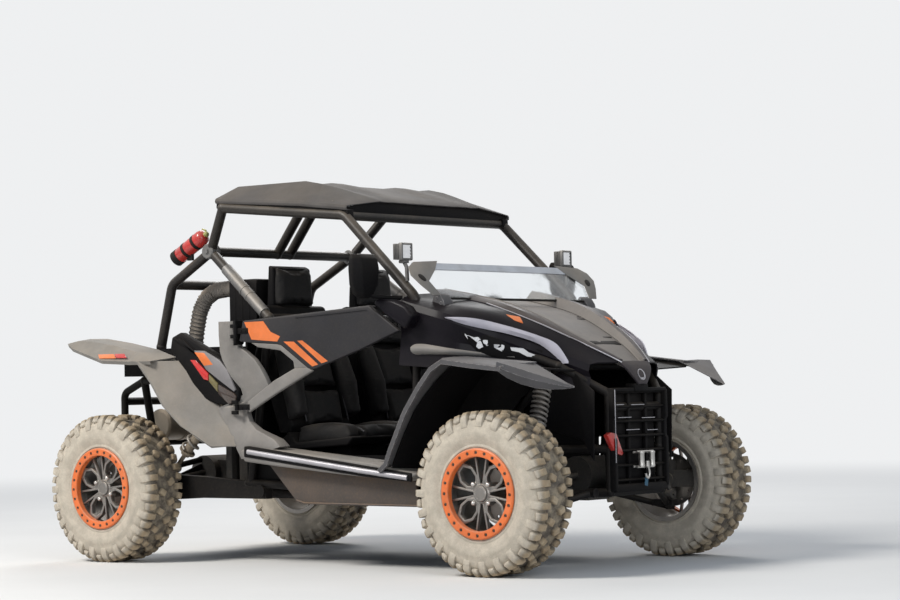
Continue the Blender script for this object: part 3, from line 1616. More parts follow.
@dataclass
class Fascia:
    """Slatted grille, tow marker, roller fairlead and hook."""

    x: float = 1.380
    half_width: float = 0.205
    low: float = 0.330
    top: float = 0.782
    slats: int = 7
    # Middle y, height and half length of each light line
    lines: Sequence[tuple[float, float, float]] = (
        (-0.155, 0.708, 0.03), (-0.020, 0.706, 0.05), (-0.120, 0.652, 0.05), (0.060, 0.648, 0.05),
        (-0.06, 0.598, 0.05), (0.09, 0.594, 0.04),
    )
    tow_x: float = 1.404
    # Corners of the tow marker as (y, z)
    tow_outline: Outline = (
        (-0.256, 0.580), (-0.230, 0.592), (-0.186, 0.586), (-0.138, 0.500), (-0.146, 0.490), (-0.196, 0.500),
    )
    hook_x: float = 1.455
    # The hook's bend as (y, z)
    hook_bend: Outline = (
        (0.0, 0.440), (0.014, 0.424), (0.016, 0.400), (0.004, 0.386), (-0.010, 0.392), (-0.013, 0.408),
    )
    fairlead_front: float = 1.432
    fairlead_height: float = 0.470

    def cheek(self) -> bpy.types.Object:
        """Left cheek of the grille, notched along its front edge.

        Returns:
            The piece, not yet dressed.
        """
        x, y = self.x, self.half_width
        outline = (
            (x, 0.350), (x + 0.030, self.low), (x + 0.052, 0.352), (x + 0.052, 0.560), (x + 0.044, 0.572),
            (x + 0.044, 0.640),
            (x + 0.052, 0.652), (x + 0.050, self.top - 0.012), (x + 0.036, self.top), (x, self.top),
        )
        return slab("cheek", outline, y - 0.020, y, 0.004)

    def slat(self, z: float, half: float) -> bpy.types.Object:
        """One bar of the grille with a raised middle.

        Args:
            z: Height of its foot.
            half: Half its length.

        Returns:
            The piece, not yet dressed.
        """
        x = self.x + 0.020
        section = (
            (x, z), (x + 0.018, z + 0.002), (x + 0.024, z + 0.007), (x + 0.018, z + 0.012), (x, z + 0.014)
        )
        bar = plate("slat", [(a, -half, b) for a, b in section], (0, 2 * half, 0))
        return bevelled(bar, 0.002)

    def grille(self) -> bpy.types.Object:
        """Cheeks, slats and the panels between them.

        Returns:
            The piece, not yet dressed.
        """
        parts = [paired("cheeks", self.cheek())]
        pitch = (self.top - self.low - 0.07) / (self.slats - 1)
        parts += [
            self.slat(self.low + 0.045 + index * pitch, self.half_width - 0.018)
            for index in range(self.slats)
        ]
        for y in (-0.065, 0.065):
            parts.append(
                block(
                    "upright", (self.x + 0.012, y - 0.008, self.low + 0.03),
                    (self.x + 0.030, y + 0.008, self.top - 0.02),
                )
            )
        parts.append(
            block(
                "beam", (self.x + 0.010, -0.198, self.low), (self.x + 0.050, 0.198, self.low + 0.036), 0.008
            )
        )
        parts.append(
            block("shelf", (self.x, -0.198, self.top - 0.016), (self.x + 0.050, 0.198, self.top), 0.004)
        )
        parts.append(block("nose_prop", (self.x, -0.05, self.top - 0.016), (1.436, 0.05, 0.7995), 0.006))
        # Dark mesh panel behind the upper slats
        parts.append(
            block("screen", (self.x + 0.006, -0.198, 0.340), (self.x + 0.011, 0.150, self.top - 0.02), 0.001)
        )
        return joined("grille", parts)

    def accents(self) -> bpy.types.Object:
        """Thin light lines on the grille's bars and right cheek.

        Returns:
            The piece, not yet dressed.
        """
        lines = [
            block("edge_line", (self.x + 0.053, -0.2055, 0.46), (self.x + 0.0555, -0.2015, 0.775), 0.0008)
        ]
        for y, z, half in self.lines:
            lines.append(
                block("line", (self.x + 0.044, y - half, z), (self.x + 0.0465, y + half, z + 0.003), 0.0008)
            )
        return joined("grille_lines", lines)

    def tow_marker(self) -> bpy.types.Object:
        """The red tow hook at the right of the grille."""
        corners = [(self.tow_x, y, z) for y, z in self.tow_outline]
        return bevelled(plate("tow_marker", corners, (0.024, 0, 0)), 0.004)

    def fairlead(self) -> bpy.types.Object:
        """Roller fairlead.

        Returns:
            The piece, not yet dressed.
        """
        front, z = self.fairlead_front, self.fairlead_height
        parts = [
            block(
                "fairlead_plate", (front - 0.006, -0.070, z - 0.036), (front + 0.002, 0.070, z - 0.026), 0.003
            )
        ]
        parts.append(
            block(
                "fairlead_head", (front - 0.006, -0.070, z + 0.026), (front + 0.002, 0.070, z + 0.036), 0.003
            )
        )
        for y in (-0.040, 0.040):
            profile = (
                (0.004, -0.034), (0.0135, -0.034), (0.0150, -0.029), (0.0135, -0.024), (0.0135, 0.024),
                (0.0150, 0.029), (0.0135, 0.034), (0.004, 0.034),
            )
            parts.append(smoothed(turned("roller", profile, 24, (0, 0, 1), (front + 0.020, y, z)), 50))
        for place in (z - 0.034, z + 0.034):
            profile = ((0.002, -0.062), (0.0045, -0.062), (0.0045, 0.062), (0.002, 0.062))
            parts.append(smoothed(turned("cross_pin", profile, 16, (0, 1, 0), (front + 0.012, 0, place)), 50))
        return joined("fairlead", parts)

    def hook(self) -> bpy.types.Object:
        """The hook that hangs at the fairlead.

        Returns:
            The piece, not yet dressed.
        """
        bend = pipe("hook_bend", [(self.hook_x, y, z) for y, z in self.hook_bend], 0.0058, 12, smooth=True)
        ring = ((0.004, -0.012), (0.010, -0.012), (0.010, 0.012), (0.004, 0.012))
        eye = turned("hook_eye", ring, 20, (0, 0, 1), (self.hook_x, 0, 0.450))
        return joined("hook", (bend, smoothed(eye)))

    def tab(self) -> bpy.types.Object:
        """Short webbing tab below the hook."""
        corners = (
            (1.450, -0.011, 0.398), (1.450, 0.011, 0.398), (1.446, 0.010, 0.352), (1.446, -0.012, 0.356)
        )
        return bevelled(plate("hook_tab", corners, (0.004, 0, 0)), 0.0012)

    def build(self) -> None:
        """Model and dress the front face."""
        seat_on(self.grille(), "chassis", Finish.BLACK, "black_plastic", "front_fascia")
        seat_on(self.accents(), "chassis", Finish.SILVER, "bright_steel")
        seat_on(self.tow_marker(), "chassis", Finish.RED, "red_paint")
        seat_on(self.fairlead(), "chassis", Finish.STEEL, "bright_steel", "winch_fairlead")
        seat_on(self.hook(), "chassis", Finish.STEEL, "bright_steel")
        seat_on(self.tab(), "chassis", Finish.WEBBING, "red_paint")


@dataclass
class FrontFlares:
    """Flares round the front wheels: a rising strip, a wide blade and the arch inside them."""

    # Place along the machine, outer edge y, height, inner edge y and its height
    rows: Sequence[tuple[float, float, float, float, float]] = (
        (0.545, 0.744, 0.452, 0.690, 0.446),
        (0.592, 0.758, 0.480, 0.690, 0.470),
        (0.628, 0.766, 0.545, 0.690, 0.545),
        (0.720, 0.776, 0.705, 0.686, 0.712),
        (0.812, 0.790, 0.812, 0.670, 0.822),
        (0.890, 0.800, 0.888, 0.650, 0.896),
        (0.968, 0.812, 0.922, 0.635, 0.930),
        (1.120, 0.812, 0.902, 0.600, 0.916),
        (1.285, 0.808, 0.882, 0.560, 0.900),
    )
    # Ends of the blade's straight outer edge, and share of its length against the depth of its face
    blade_root: Point = (1.262, 0.812, 0.900)
    blade_tip: Point = (1.4900, 0.576, 0.790)
    blade_inner: float = 0.555
    blade_faces: Outline = (
        (0.0, 0.034), (0.12, 0.052), (0.30, 0.060), (0.50, 0.056), (0.68, 0.042), (0.84, 0.024),
        (0.94, 0.010), (1.0, 0.001),
    )
    # Inner edge of the arch and how far it drops there, beside the cabin and in front of it
    arch_at_cabin: tuple[float, float] = (0.415, 0.30)
    arch_at_bay: tuple[float, float] = (0.300, 0.02)
    bay_start: float = 1.05

    def band(
        self, name: str, rows: Sequence[tuple[float, float, float, float, float]], lip: float
    ) -> bpy.types.Object:
        """Skin of the flare with a lip folded down along its outer edge.

        Args:
            name: The skin's name.
            rows: Rows as in the flare's own table.
            lip: How far the lip reaches down.

        Returns:
            The piece, not yet dressed.
        """
        lines = []
        for (x, outer_y, z, inner_y, inner_z), (next_x, _, next_z, _, _) in zip(
            rows, list(rows[1:]) + [rows[-1]]
        ):
            run, rise = (next_x - x, next_z - z) if next_x != x else (1.0, -0.6)
            size = math.hypot(run, rise)
            down = (rise / size * lip, -run / size * lip)
            lines.append(
                [
                    (x, inner_y, inner_z),
                    (x, (inner_y + outer_y) / 2, (inner_z + z) / 2 + 0.003),
                    (x, outer_y - 0.012, z + 0.002),
                    (x, outer_y, z - 0.004),
                    (x + down[0], outer_y - 0.002, z - 0.004 + down[1]),
                    (x + down[0], outer_y - 0.014, z - 0.004 + down[1] * 1.05),
                ]
            )
        skin = sheet(name, lines, 0.005)
        return smoothed(skin, 25)

    def blade(self) -> bpy.types.Object:
        """The wide forward blade that runs straight out to a point.

        Returns:
            The piece, not yet dressed.
        """
        root, tip = Vector(self.blade_root), Vector(self.blade_tip)
        lines = []
        for share, depth in self.blade_faces:
            edge = root.lerp(tip, share)
            inner = self.blade_inner + (tip.y - self.blade_inner) * share
            lines.append(
                [
                    (edge.x, inner, edge.z - 0.004),
                    (edge.x, inner + 0.6 * (edge.y - inner), edge.z + 0.001),
                    (edge.x, edge.y - 0.10 * depth, edge.z),
                    (edge.x, edge.y, edge.z - 0.42 * depth),
                    (edge.x - 0.10 * depth, edge.y - 0.35 * depth, edge.z - depth),
                ]
            )
        return smoothed(sheet("flare_blade_front", lines, 0.0035), 18)

    def liner(self) -> bpy.types.Object:
        """The black arch between the flare and the body, down behind the wheel.

        Returns:
            The piece, not yet dressed.
        """
        rows = []
        for x, _, z, inner_y, inner_z in self.rows[1:]:
            shelf = inner_z - 0.016
            inner_x = min(max(x + 0.010, 0.640), 1.330)
            wall_y, drop = self.arch_at_cabin if x < self.bay_start else self.arch_at_bay
            rows.append(
                [
                    (inner_x, wall_y, shelf - drop),
                    (inner_x, wall_y + 0.005, shelf - 0.020),
                    (inner_x, 0.560, shelf - 0.010),
                    (x + 0.004, inner_y + 0.02, shelf),
                ]
            )
        return smoothed(sheet("arch_liner", eased(rows, 2), 0.006), 40)

    def inner_wall(self) -> bpy.types.Object:
        """The upright wall that closes the arch off from the front bay.

        Returns:
            The piece, not yet dressed.
        """
        outline = (
            (0.935, 0.880), (0.935, 0.560), (1.000, 0.560), (1.060, 0.600), (1.180, 0.600), (1.330, 0.560),
            (1.384, 0.470),
            (1.392, 0.770), (1.280, 0.860), (1.180, 0.920), (1.060, 0.930),
        )
        return slab("bay_wall", outline, 0.292, 0.300, 0.002)

    def build(self) -> None:
        """Model and dress the flares."""
        strips = joined("flares", (self.band("flare_strip", self.rows, 0.020), self.blade()))
        pair_on("front_flare_skins", strips, Finish.FLARE, "flare_plastic", "front_flares")
        pair_on("front_arch_liners", self.liner(), Finish.BLACK, "black_plastic", "arch_liners")
        pair_on("bay_walls", self.inner_wall(), Finish.BLACK, "black_plastic")


@dataclass
class Doors:
    """Door skins with their open V frames and painted stripes."""

    inner: float = 0.671
    outer: float = 0.6955
    panel: Outline = (
        (-0.318, 1.028), (-0.295, 1.120), (-0.160, 1.128), (0.180, 1.148), (0.470, 1.165), (0.640, 1.050),
        (0.420, 0.974),
        (0.138, 0.890), (0.100, 0.898), (-0.060, 1.004), (-0.090, 1.010), (-0.250, 1.020),
    )
    lower_bar: Outline = (
        (0.130, 0.884), (0.100, 0.900), (0.018, 0.898), (-0.108, 0.845), (-0.272, 0.752), (-0.268, 0.700),
        (-0.092, 0.786),
    )
    upper_bar: Outline = (
        (-0.250, 1.021), (-0.090, 1.011), (-0.058, 1.004), (0.100, 0.898), (0.018, 0.897), (0.012, 0.930),
        (-0.066, 0.980), (-0.205, 0.998),
    )
    orange_block: Outline = (
        (-0.282, 1.115), (-0.163, 1.116), (-0.118, 1.066), (-0.061, 1.044), (-0.079, 1.021), (-0.238, 1.034),
    )
    stripes: Sequence[Outline] = (
        ((-0.040, 1.020), (0.022, 1.018), (0.168, 0.912), (0.132, 0.904)),
        ((0.044, 1.021), (0.074, 1.022), (0.226, 0.926), (0.188, 0.917)),
    )
    channel: Outline = ((0.03, 1.125), (0.455, 1.146), (0.470, 1.139), (0.045, 1.117))
    top_fold: Outline = ((-0.292, 1.1215), (0.470, 1.1665), (0.478, 1.160), (-0.292, 1.114))
    fold_inner: float = 0.650
    hinge_heights: tuple[float, float] = (0.726, 1.075)
    hinge_axis: tuple[float, float] = (-0.332, 0.702)

    def skin(self) -> bpy.types.Object:
        """The dark upper panel with a folded top edge and a pressed channel.

        Returns:
            The piece, not yet dressed.
        """
        skin = slab("door_skin", self.panel, self.inner, self.outer, 0.006, 3)
        groove = plate("groove", [(x, self.outer + 0.002, z) for x, z in self.channel], (0, -0.006, 0))
        carved(skin, groove)
        fold = slab("top_fold", self.top_fold, self.fold_inner, self.outer - 0.002, 0.004)
        return joined("door_skin", (smoothed(skin, 30), fold))

    def frame_bars(self) -> bpy.types.Object:
        """The pale V frame behind the panel.

        Returns:
            The piece, not yet dressed.
        """
        lower = slab("lower_bar", self.lower_bar, self.inner + 0.002, self.outer - 0.001, 0.007, 3)
        upper = slab("upper_bar", self.upper_bar, self.inner + 0.002, self.outer - 0.003, 0.005, 3)
        return joined("door_bars", (lower, upper))

    def painted(self) -> bpy.types.Object:
        """The orange block and the two stripes.

        Returns:
            The piece, not yet dressed.
        """
        pieces = []
        for outline in (self.orange_block, *self.stripes):
            pieces.append(plate("stripe", [(x, self.outer - 0.0004, z) for x, z in outline], (0, 0.0010, 0)))
        return joined("door_stripes", pieces)

    def hinges(self) -> bpy.types.Object:
        """The door's hinge halves with their bolts.

        Returns:
            The piece, not yet dressed.
        """
        parts = []
        ring = ((0.0048, -0.014), (0.009, -0.014), (0.009, 0.014), (0.0048, 0.014))
        head = ((0, -0.002), (0.006, -0.002), (0.005, 0.002), (0, 0.002))
        for z in self.hinge_heights:
            parts.append(block("hinge_leaf", (-0.330, 0.6925, z - 0.013), (-0.258, 0.6995, z + 0.013), 0.002))
            barrel = turned("hinge_barrel", ring, 20, (0, 0, 1), (*self.hinge_axis, z))
            parts.append(smoothed(barrel, 40))
            for x in (-0.300, -0.272):
                parts.append(turned("hinge_bolt", head, 6, (0, 1, 0), (x, 0.7005, z)))
        return joined("door_hinges", parts)

    def latch(self) -> bpy.types.Object:
        """The pull strap's anchor at the panel's front."""
        return block("door_latch", (0.575, 0.664, 1.055), (0.612, 0.672, 1.085), 0.003)

    def build(self) -> None:
        """Model the left door and mirror it."""
        makers = (
            ("skin", self.skin, Finish.DOOR, "door_plastic"),
            ("bars", self.frame_bars, Finish.BODY, "door_plastic"),
            ("stripes", self.painted, Finish.ORANGE, "door_plastic"),
            ("hinges", self.hinges, Finish.BLACK, "cast_metal"),
            ("latch", self.latch, Finish.BLACK, "black_plastic"),
        )
        for label, maker, finish, slot in makers:
            left = maker()
            right = mirrored(left, f"door_{label}_right_look")
            left.name = f"door_{label}_left_look"
            for piece, side in ((left, "left"), (right, "right")):
                seat_on(piece, "door_" + side, finish, slot, *(["door_" + side] if label == "skin" else []))


@dataclass
class Quarters:
    """Cowl panels, rear quarters, sills with their bright strip, and lower guards."""

    # Height, rear edge and front edge of the quarter
    levels: Sequence[tuple[float, float, float]] = (
        (1.122, -0.446, -0.347), (1.060, -0.446, -0.347), (1.004, -0.441, -0.347), (0.985, -0.440, -0.310),
        (0.944, -0.425, -0.250),
        (0.900, -0.396, -0.212), (0.862, -0.372, -0.186), (0.812, -0.338, -0.158), (0.782, -0.326, -0.168),
        (0.750, -0.372, -0.250),
        (0.726, -0.455, -0.300), (0.700, -0.452, -0.300), (0.660, -0.420, -0.285), (0.622, -0.392, -0.225),
        (0.578, -0.360, -0.100),
        (0.546, -0.338, -0.062), (0.520, -0.322, -0.160), (0.490, -0.303, -0.290),
    )
    raised_y: float = 0.6955
    sunken_y: float = 0.6665
    foot_y: float = 0.708
    leaf_heights: Sequence[float] = (0.702, 0.750, 1.051, 1.099)
    seam_outline: Outline = ((-0.352, 1.1245), (-0.338, 1.1250), (-0.338, 1.020), (-0.352, 1.010))
    tread: Outline = ((-0.200, 0.5425), (0.480, 0.4795), (0.480, 0.4765), (-0.200, 0.5385))
    strip_route: Sequence[Point] = (
        (-0.246, 0.722, 0.523), (0.100, 0.724, 0.482), (0.440, 0.724, 0.441), (0.700, 0.722, 0.412)
    )
    strip_radius: float = 0.0130
    strip_channel: Outline = (
        (-0.268, 0.548), (-0.236, 0.549), (0.440, 0.466), (0.722, 0.432), (0.722, 0.394), (0.440, 0.416),
        (-0.236, 0.496), (-0.270, 0.500),
    )
    sill: Outline = (
        (-0.300, 0.528), (-0.245, 0.545), (-0.060, 0.530), (0.500, 0.475), (0.600, 0.452), (0.755, 0.430),
        (0.700, 0.396),
        (0.300, 0.424), (-0.060, 0.456), (-0.275, 0.478),
    )
    guard: Outline = (
        (-0.180, 0.464), (-0.060, 0.452), (0.690, 0.394), (0.703, 0.282), (0.040, 0.285), (-0.014, 0.298),
    )
    cowl: Outline = (
        (0.486, 1.172), (0.506, 1.194), (0.600, 1.185), (0.672, 1.156), (0.712, 1.112), (0.690, 1.080),
        (0.668, 1.052), (0.560, 1.118),
    )

    def face_y(self, x: float, z: float) -> float:
        """Half width at the quarter's outer face: raised behind, sunken at the door, out at its foot.

        Args:
            x: Place along the machine.
            z: Height.

        Returns:
            The half width.
        """
        share = min(max((x + 0.385) / 0.050, 0.0), 1.0)
        y = self.raised_y + (self.sunken_y - self.raised_y) * share * share * (3 - 2 * share)
        foot = min(max((0.680 - z) / 0.120, 0.0), 1.0)
        return y + (self.foot_y - y) * foot * foot * (3 - 2 * foot)

    def quarter_panel(self) -> bpy.types.Object:
        """The rear quarter as one surface that flows into the sill.

        Returns:
            The piece, not yet dressed.
        """
        rows = []
        for z, rear, front in self.levels:
            places = [rear + (front - rear) * step / 8 for step in range(9)]
            rows.append([(x, self.face_y(x, z), z) for x in places] + [(front, 0.640, z), (rear, 0.640, z)])
        return bevelled(sheet("quarter_panel", rows, closed=True), 0.004, 2, 40)

    def hinge_leaves(self) -> bpy.types.Object:
        """The quarter's hinge leaves and knuckles.

        Returns:
            The piece, not yet dressed.
        """
        leaves = []
        pin = ((0, -0.009), (0.009, -0.009), (0.009, 0.009), (0, 0.009))
        for z in self.leaf_heights:
            leaves.append(block("leaf", (-0.370, 0.6925, z - 0.0085), (-0.334, 0.6995, z + 0.0085), 0.002))
            leaves.append(turned("knuckle", pin, 20, (0, 0, 1), (-0.332, 0.702, z)))
        return joined("hinge_leaves", leaves)

    def seam(self) -> bpy.types.Object:
        """The dark gap between the quarter and the door."""
        return slab("quarter_seam", self.seam_outline, 0.640, 0.6970, 0.001)

    def sill_panel(self) -> bpy.types.Object:
        """The sill with its folded outer face.

        Returns:
            The piece, not yet dressed.
        """
        body = slab("sill", self.sill, 0.561, 0.722, 0.010, 3)
        tread = slab("tread", self.tread, 0.575, 0.640, 0.001)
        return joined("sill_panel", (body, tread))

    def sill_strip(self) -> bpy.types.Object:
        """The half-round bright strip along the sill."""
        return pipe("sill_strip", self.strip_route, self.strip_radius, 16)

    def strip_seat(self) -> bpy.types.Object:
        """The dark channel that holds the bright strip."""
        return slab("strip_seat", self.strip_channel, 0.716, 0.727, 0.004)

    def guard_panel(self) -> bpy.types.Object:
        """The lower guard with a rolled lower edge.

        Returns:
            The piece, not yet dressed.
        """
        body = slab("guard", self.guard, 0.641, 0.657, 0.004)
        edge = pipe(
            "guard_edge", ((-0.014, 0.6555, 0.303), (0.040, 0.6555, 0.2905), (0.700, 0.6555, 0.2875)), 0.005,
            8,
        )
        return joined("guard_panel", (body, edge))

    def cowl_panel(self) -> bpy.types.Object:
        """The cowl panel in front of the door."""
        return slab("cowl_panel", self.cowl, 0.624, 0.689, 0.014, 4)

    def build(self) -> None:
        """Model and dress the side panels."""
        pair_on("quarter_looks", self.quarter_panel(), Finish.BODY, "body_plastic", "quarter_panels")
        pair_on("quarter_hinges", self.hinge_leaves(), Finish.BLACK, "cast_metal")
        pair_on("quarter_seams", self.seam(), Finish.BLACK, "black_plastic")
        pair_on("sill_looks", self.sill_panel(), Finish.BODY, "body_plastic", "sills")
        pair_on("sill_strips", self.sill_strip(), Finish.SILVER, "bright_steel")
        pair_on("strip_seats", self.strip_seat(), Finish.BLACK, "black_plastic")
        pair_on("guard_looks", self.guard_panel(), Finish.GUARD, "guard_plastic", "lower_guards")
        pair_on("cowl_looks", self.cowl_panel(), Finish.GLOSS, "gloss_panel", "cowl_panels")


@dataclass
class RearFlares:
    """Rear flares with reflectors, and the tail pods with their lamps."""

    # Height, inner (x, y), crease (x, y), outer (x, y)
    band_rows: Sequence[tuple[float, Point, Point, Point]] = (
        (0.550, (-0.320, 0.690), (-0.352, 0.742), (-0.417, 0.792)),
        (0.590, (-0.334, 0.690), (-0.404, 0.752), (-0.478, 0.806)),
        (0.640, (-0.372, 0.685), (-0.490, 0.748), (-0.575, 0.811)),
        (0.735, (-0.474, 0.664), (-0.600, 0.735), (-0.690, 0.812)),
        (0.845, (-0.585, 0.652), (-0.668, 0.728), (-0.770, 0.812)),
        (0.948, (-0.700, 0.642), (-0.745, 0.722), (-0.866, 0.812)),
    )
    # Place along the machine, inner (y, z), crease (y, z), outer (y, z)
    blade_rows: Sequence[tuple[float, Point, Point, Point]] = (
        (-1.448, (0.676, 1.052), (0.692, 1.050), (0.712, 1.045)),
        (-1.385, (0.622, 1.068), (0.700, 1.058), (0.742, 1.022)),
        (-1.280, (0.606, 1.066), (0.716, 1.054), (0.762, 0.995)),
        (-1.110, (0.602, 1.040), (0.736, 1.030), (0.812, 0.958)),
        (-0.930, (0.612, 1.006), (0.752, 0.994), (0.812, 0.949)),
        (-0.790, (0.630, 0.966), (0.712, 0.958), (0.806, 0.948)),
    )

    # Outline of the tail pod as (x, z)
    pod_outline: Outline = (
        (-0.772, 1.000), (-0.760, 1.058), (-0.702, 1.081), (-0.572, 1.018), (-0.440, 0.955), (-0.380, 0.880),
        (-0.334, 0.800), (-0.336, 0.756), (-0.390, 0.734), (-0.470, 0.740), (-0.583, 0.776), (-0.672, 0.898),
    )
    pod_face: float = 0.687
    # Name, outline as (x, z), depth, finish and slot of each panel or lens on the pod
    pod_lenses: Sequence[tuple[str, Outline, float, Finish, str]] = (
        (
            "pod_panel",
            (
                (-0.607, 0.993), (-0.540, 0.990), (-0.445, 0.946), (-0.396, 0.900), (-0.344, 0.808),
                (-0.354, 0.798), (-0.440, 0.848), (-0.528, 0.901),
            ),
            0.011, Finish.POD_PANEL, "bright_steel",
        ),
        (
            "pod_orange", ((-0.605, 0.986), (-0.539, 0.981), (-0.482, 0.924), (-0.541, 0.920)), 0.0125,
            Finish.ORANGE, "body_plastic",
        ),
        (
            "pod_red", ((-0.632, 0.950), (-0.600, 0.948), (-0.517, 0.884), (-0.517, 0.852), (-0.545, 0.857)),
            0.011, Finish.RED_LENS, "lamp_lens",
        ),
        (
            "pod_olive", ((-0.513, 0.881), (-0.457, 0.837), (-0.457, 0.797), (-0.513, 0.847)), 0.011,
            Finish.OLIVE_LENS, "lamp_lens",
        ),
        (
            "pod_smoke",
            (
                (-0.453, 0.834), (-0.354, 0.790), (-0.340, 0.776), (-0.346, 0.750), (-0.392, 0.742),
                (-0.453, 0.790),
            ),
            0.011, Finish.SMOKE_LENS, "lamp_lens",
        ),
    )

    def band(self) -> bpy.types.Object:
        """The facetted band in front of the wheel.

        Returns:
            The piece, not yet dressed.
        """
        rows = []
        for z, inner, crease, outer in self.band_rows:
            back = (inner[0] - 0.030, inner[1] - 0.006, z)
            lip = (outer[0] - 0.020, outer[1] - 0.004, z + 0.004)
            rows.append([back, (*inner, z), (*crease, z), (*outer, z), lip])
        return smoothed(sheet("flare_band", rows, 0.006), 18)

    def blade(self) -> bpy.types.Object:
        """The tilted blade over the wheel.

        Returns:
            The piece, not yet dressed.
        """
        rows = []
        for x, inner, crease, outer in self.blade_rows:
            back = (x, inner[0] + 0.004, inner[1] - 0.018)
            lip = (x, outer[0] - 0.008, outer[1] - 0.016)
            rows.append([back, (x, *inner), (x, *crease), (x, *outer), lip])
        return smoothed(sheet("flare_blade", rows, 0.006), 18)

    def reflector(self, name: str, start: float, end: float) -> bpy.types.Object:
        """Part of the reflector on the blade's outer face.

        Args:
            name: The part's name.
            start: Its rear end along the machine.
            end: Its front end.

        Returns:
            The part.
        """
        corners = [
            (start, 0.790, 0.984), (end, 0.792, 0.984), (end + 0.030, 0.807, 0.964),
            (start + 0.026, 0.807, 0.966),
        ]
        return bevelled(plate(name, corners, (0, 0.004, 0.004)), 0.0015)

    def pod(self) -> bpy.types.Object:
        """The tail pod's dark shell with its grooves.

        Returns:
            The piece, not yet dressed.
        """
        shell = slab("pod_shell", self.pod_outline, 0.644, 0.690, 0.010, 3)
        fins = []
        for shift in (0.0, 0.030, 0.056):
            top, foot = shift * 0.2, shift * 0.6
            fin = (
                (-0.745 + shift, 1.052 - top), (-0.735 + shift, 1.060 - top),
                (-0.560 + foot, 0.966 - foot), (-0.570 + foot, 0.957 - foot),
            )
            fins.append(slab("fin", fin, 0.688, 0.699, 0.003))
        return joined("pod_shell", (shell, *fins))

    def lamp(self, name: str, outline: Outline, depth: float) -> bpy.types.Object:
        """One lens or panel on the pod's outer face."""
        return slab(name, outline, self.pod_face, self.pod_face + depth, 0.003)

    def build(self) -> None:
        """Model and dress the rear body."""
        skins = joined("rear_flare_skins", (self.band(), self.blade()))
        pair_on("rear_flare_looks", skins, Finish.TAIL, "flare_plastic", "rear_flares")
        pair_on(
            "reflectors_orange", self.reflector("reflector_orange", -1.150, -1.040), Finish.ORANGE_LENS,
            "lamp_lens",
        )
        pair_on(
            "reflectors_red", self.reflector("reflector_red", -1.036, -0.968), Finish.RED_LENS, "lamp_lens"
        )
        pair_on("pod_shells", self.pod(), Finish.BLACK, "black_plastic", "tail_pods")
        for name, outline, depth, finish, slot in self.pod_lenses:
            pair_on(name + "s", self.lamp(name, outline, depth), finish, slot)


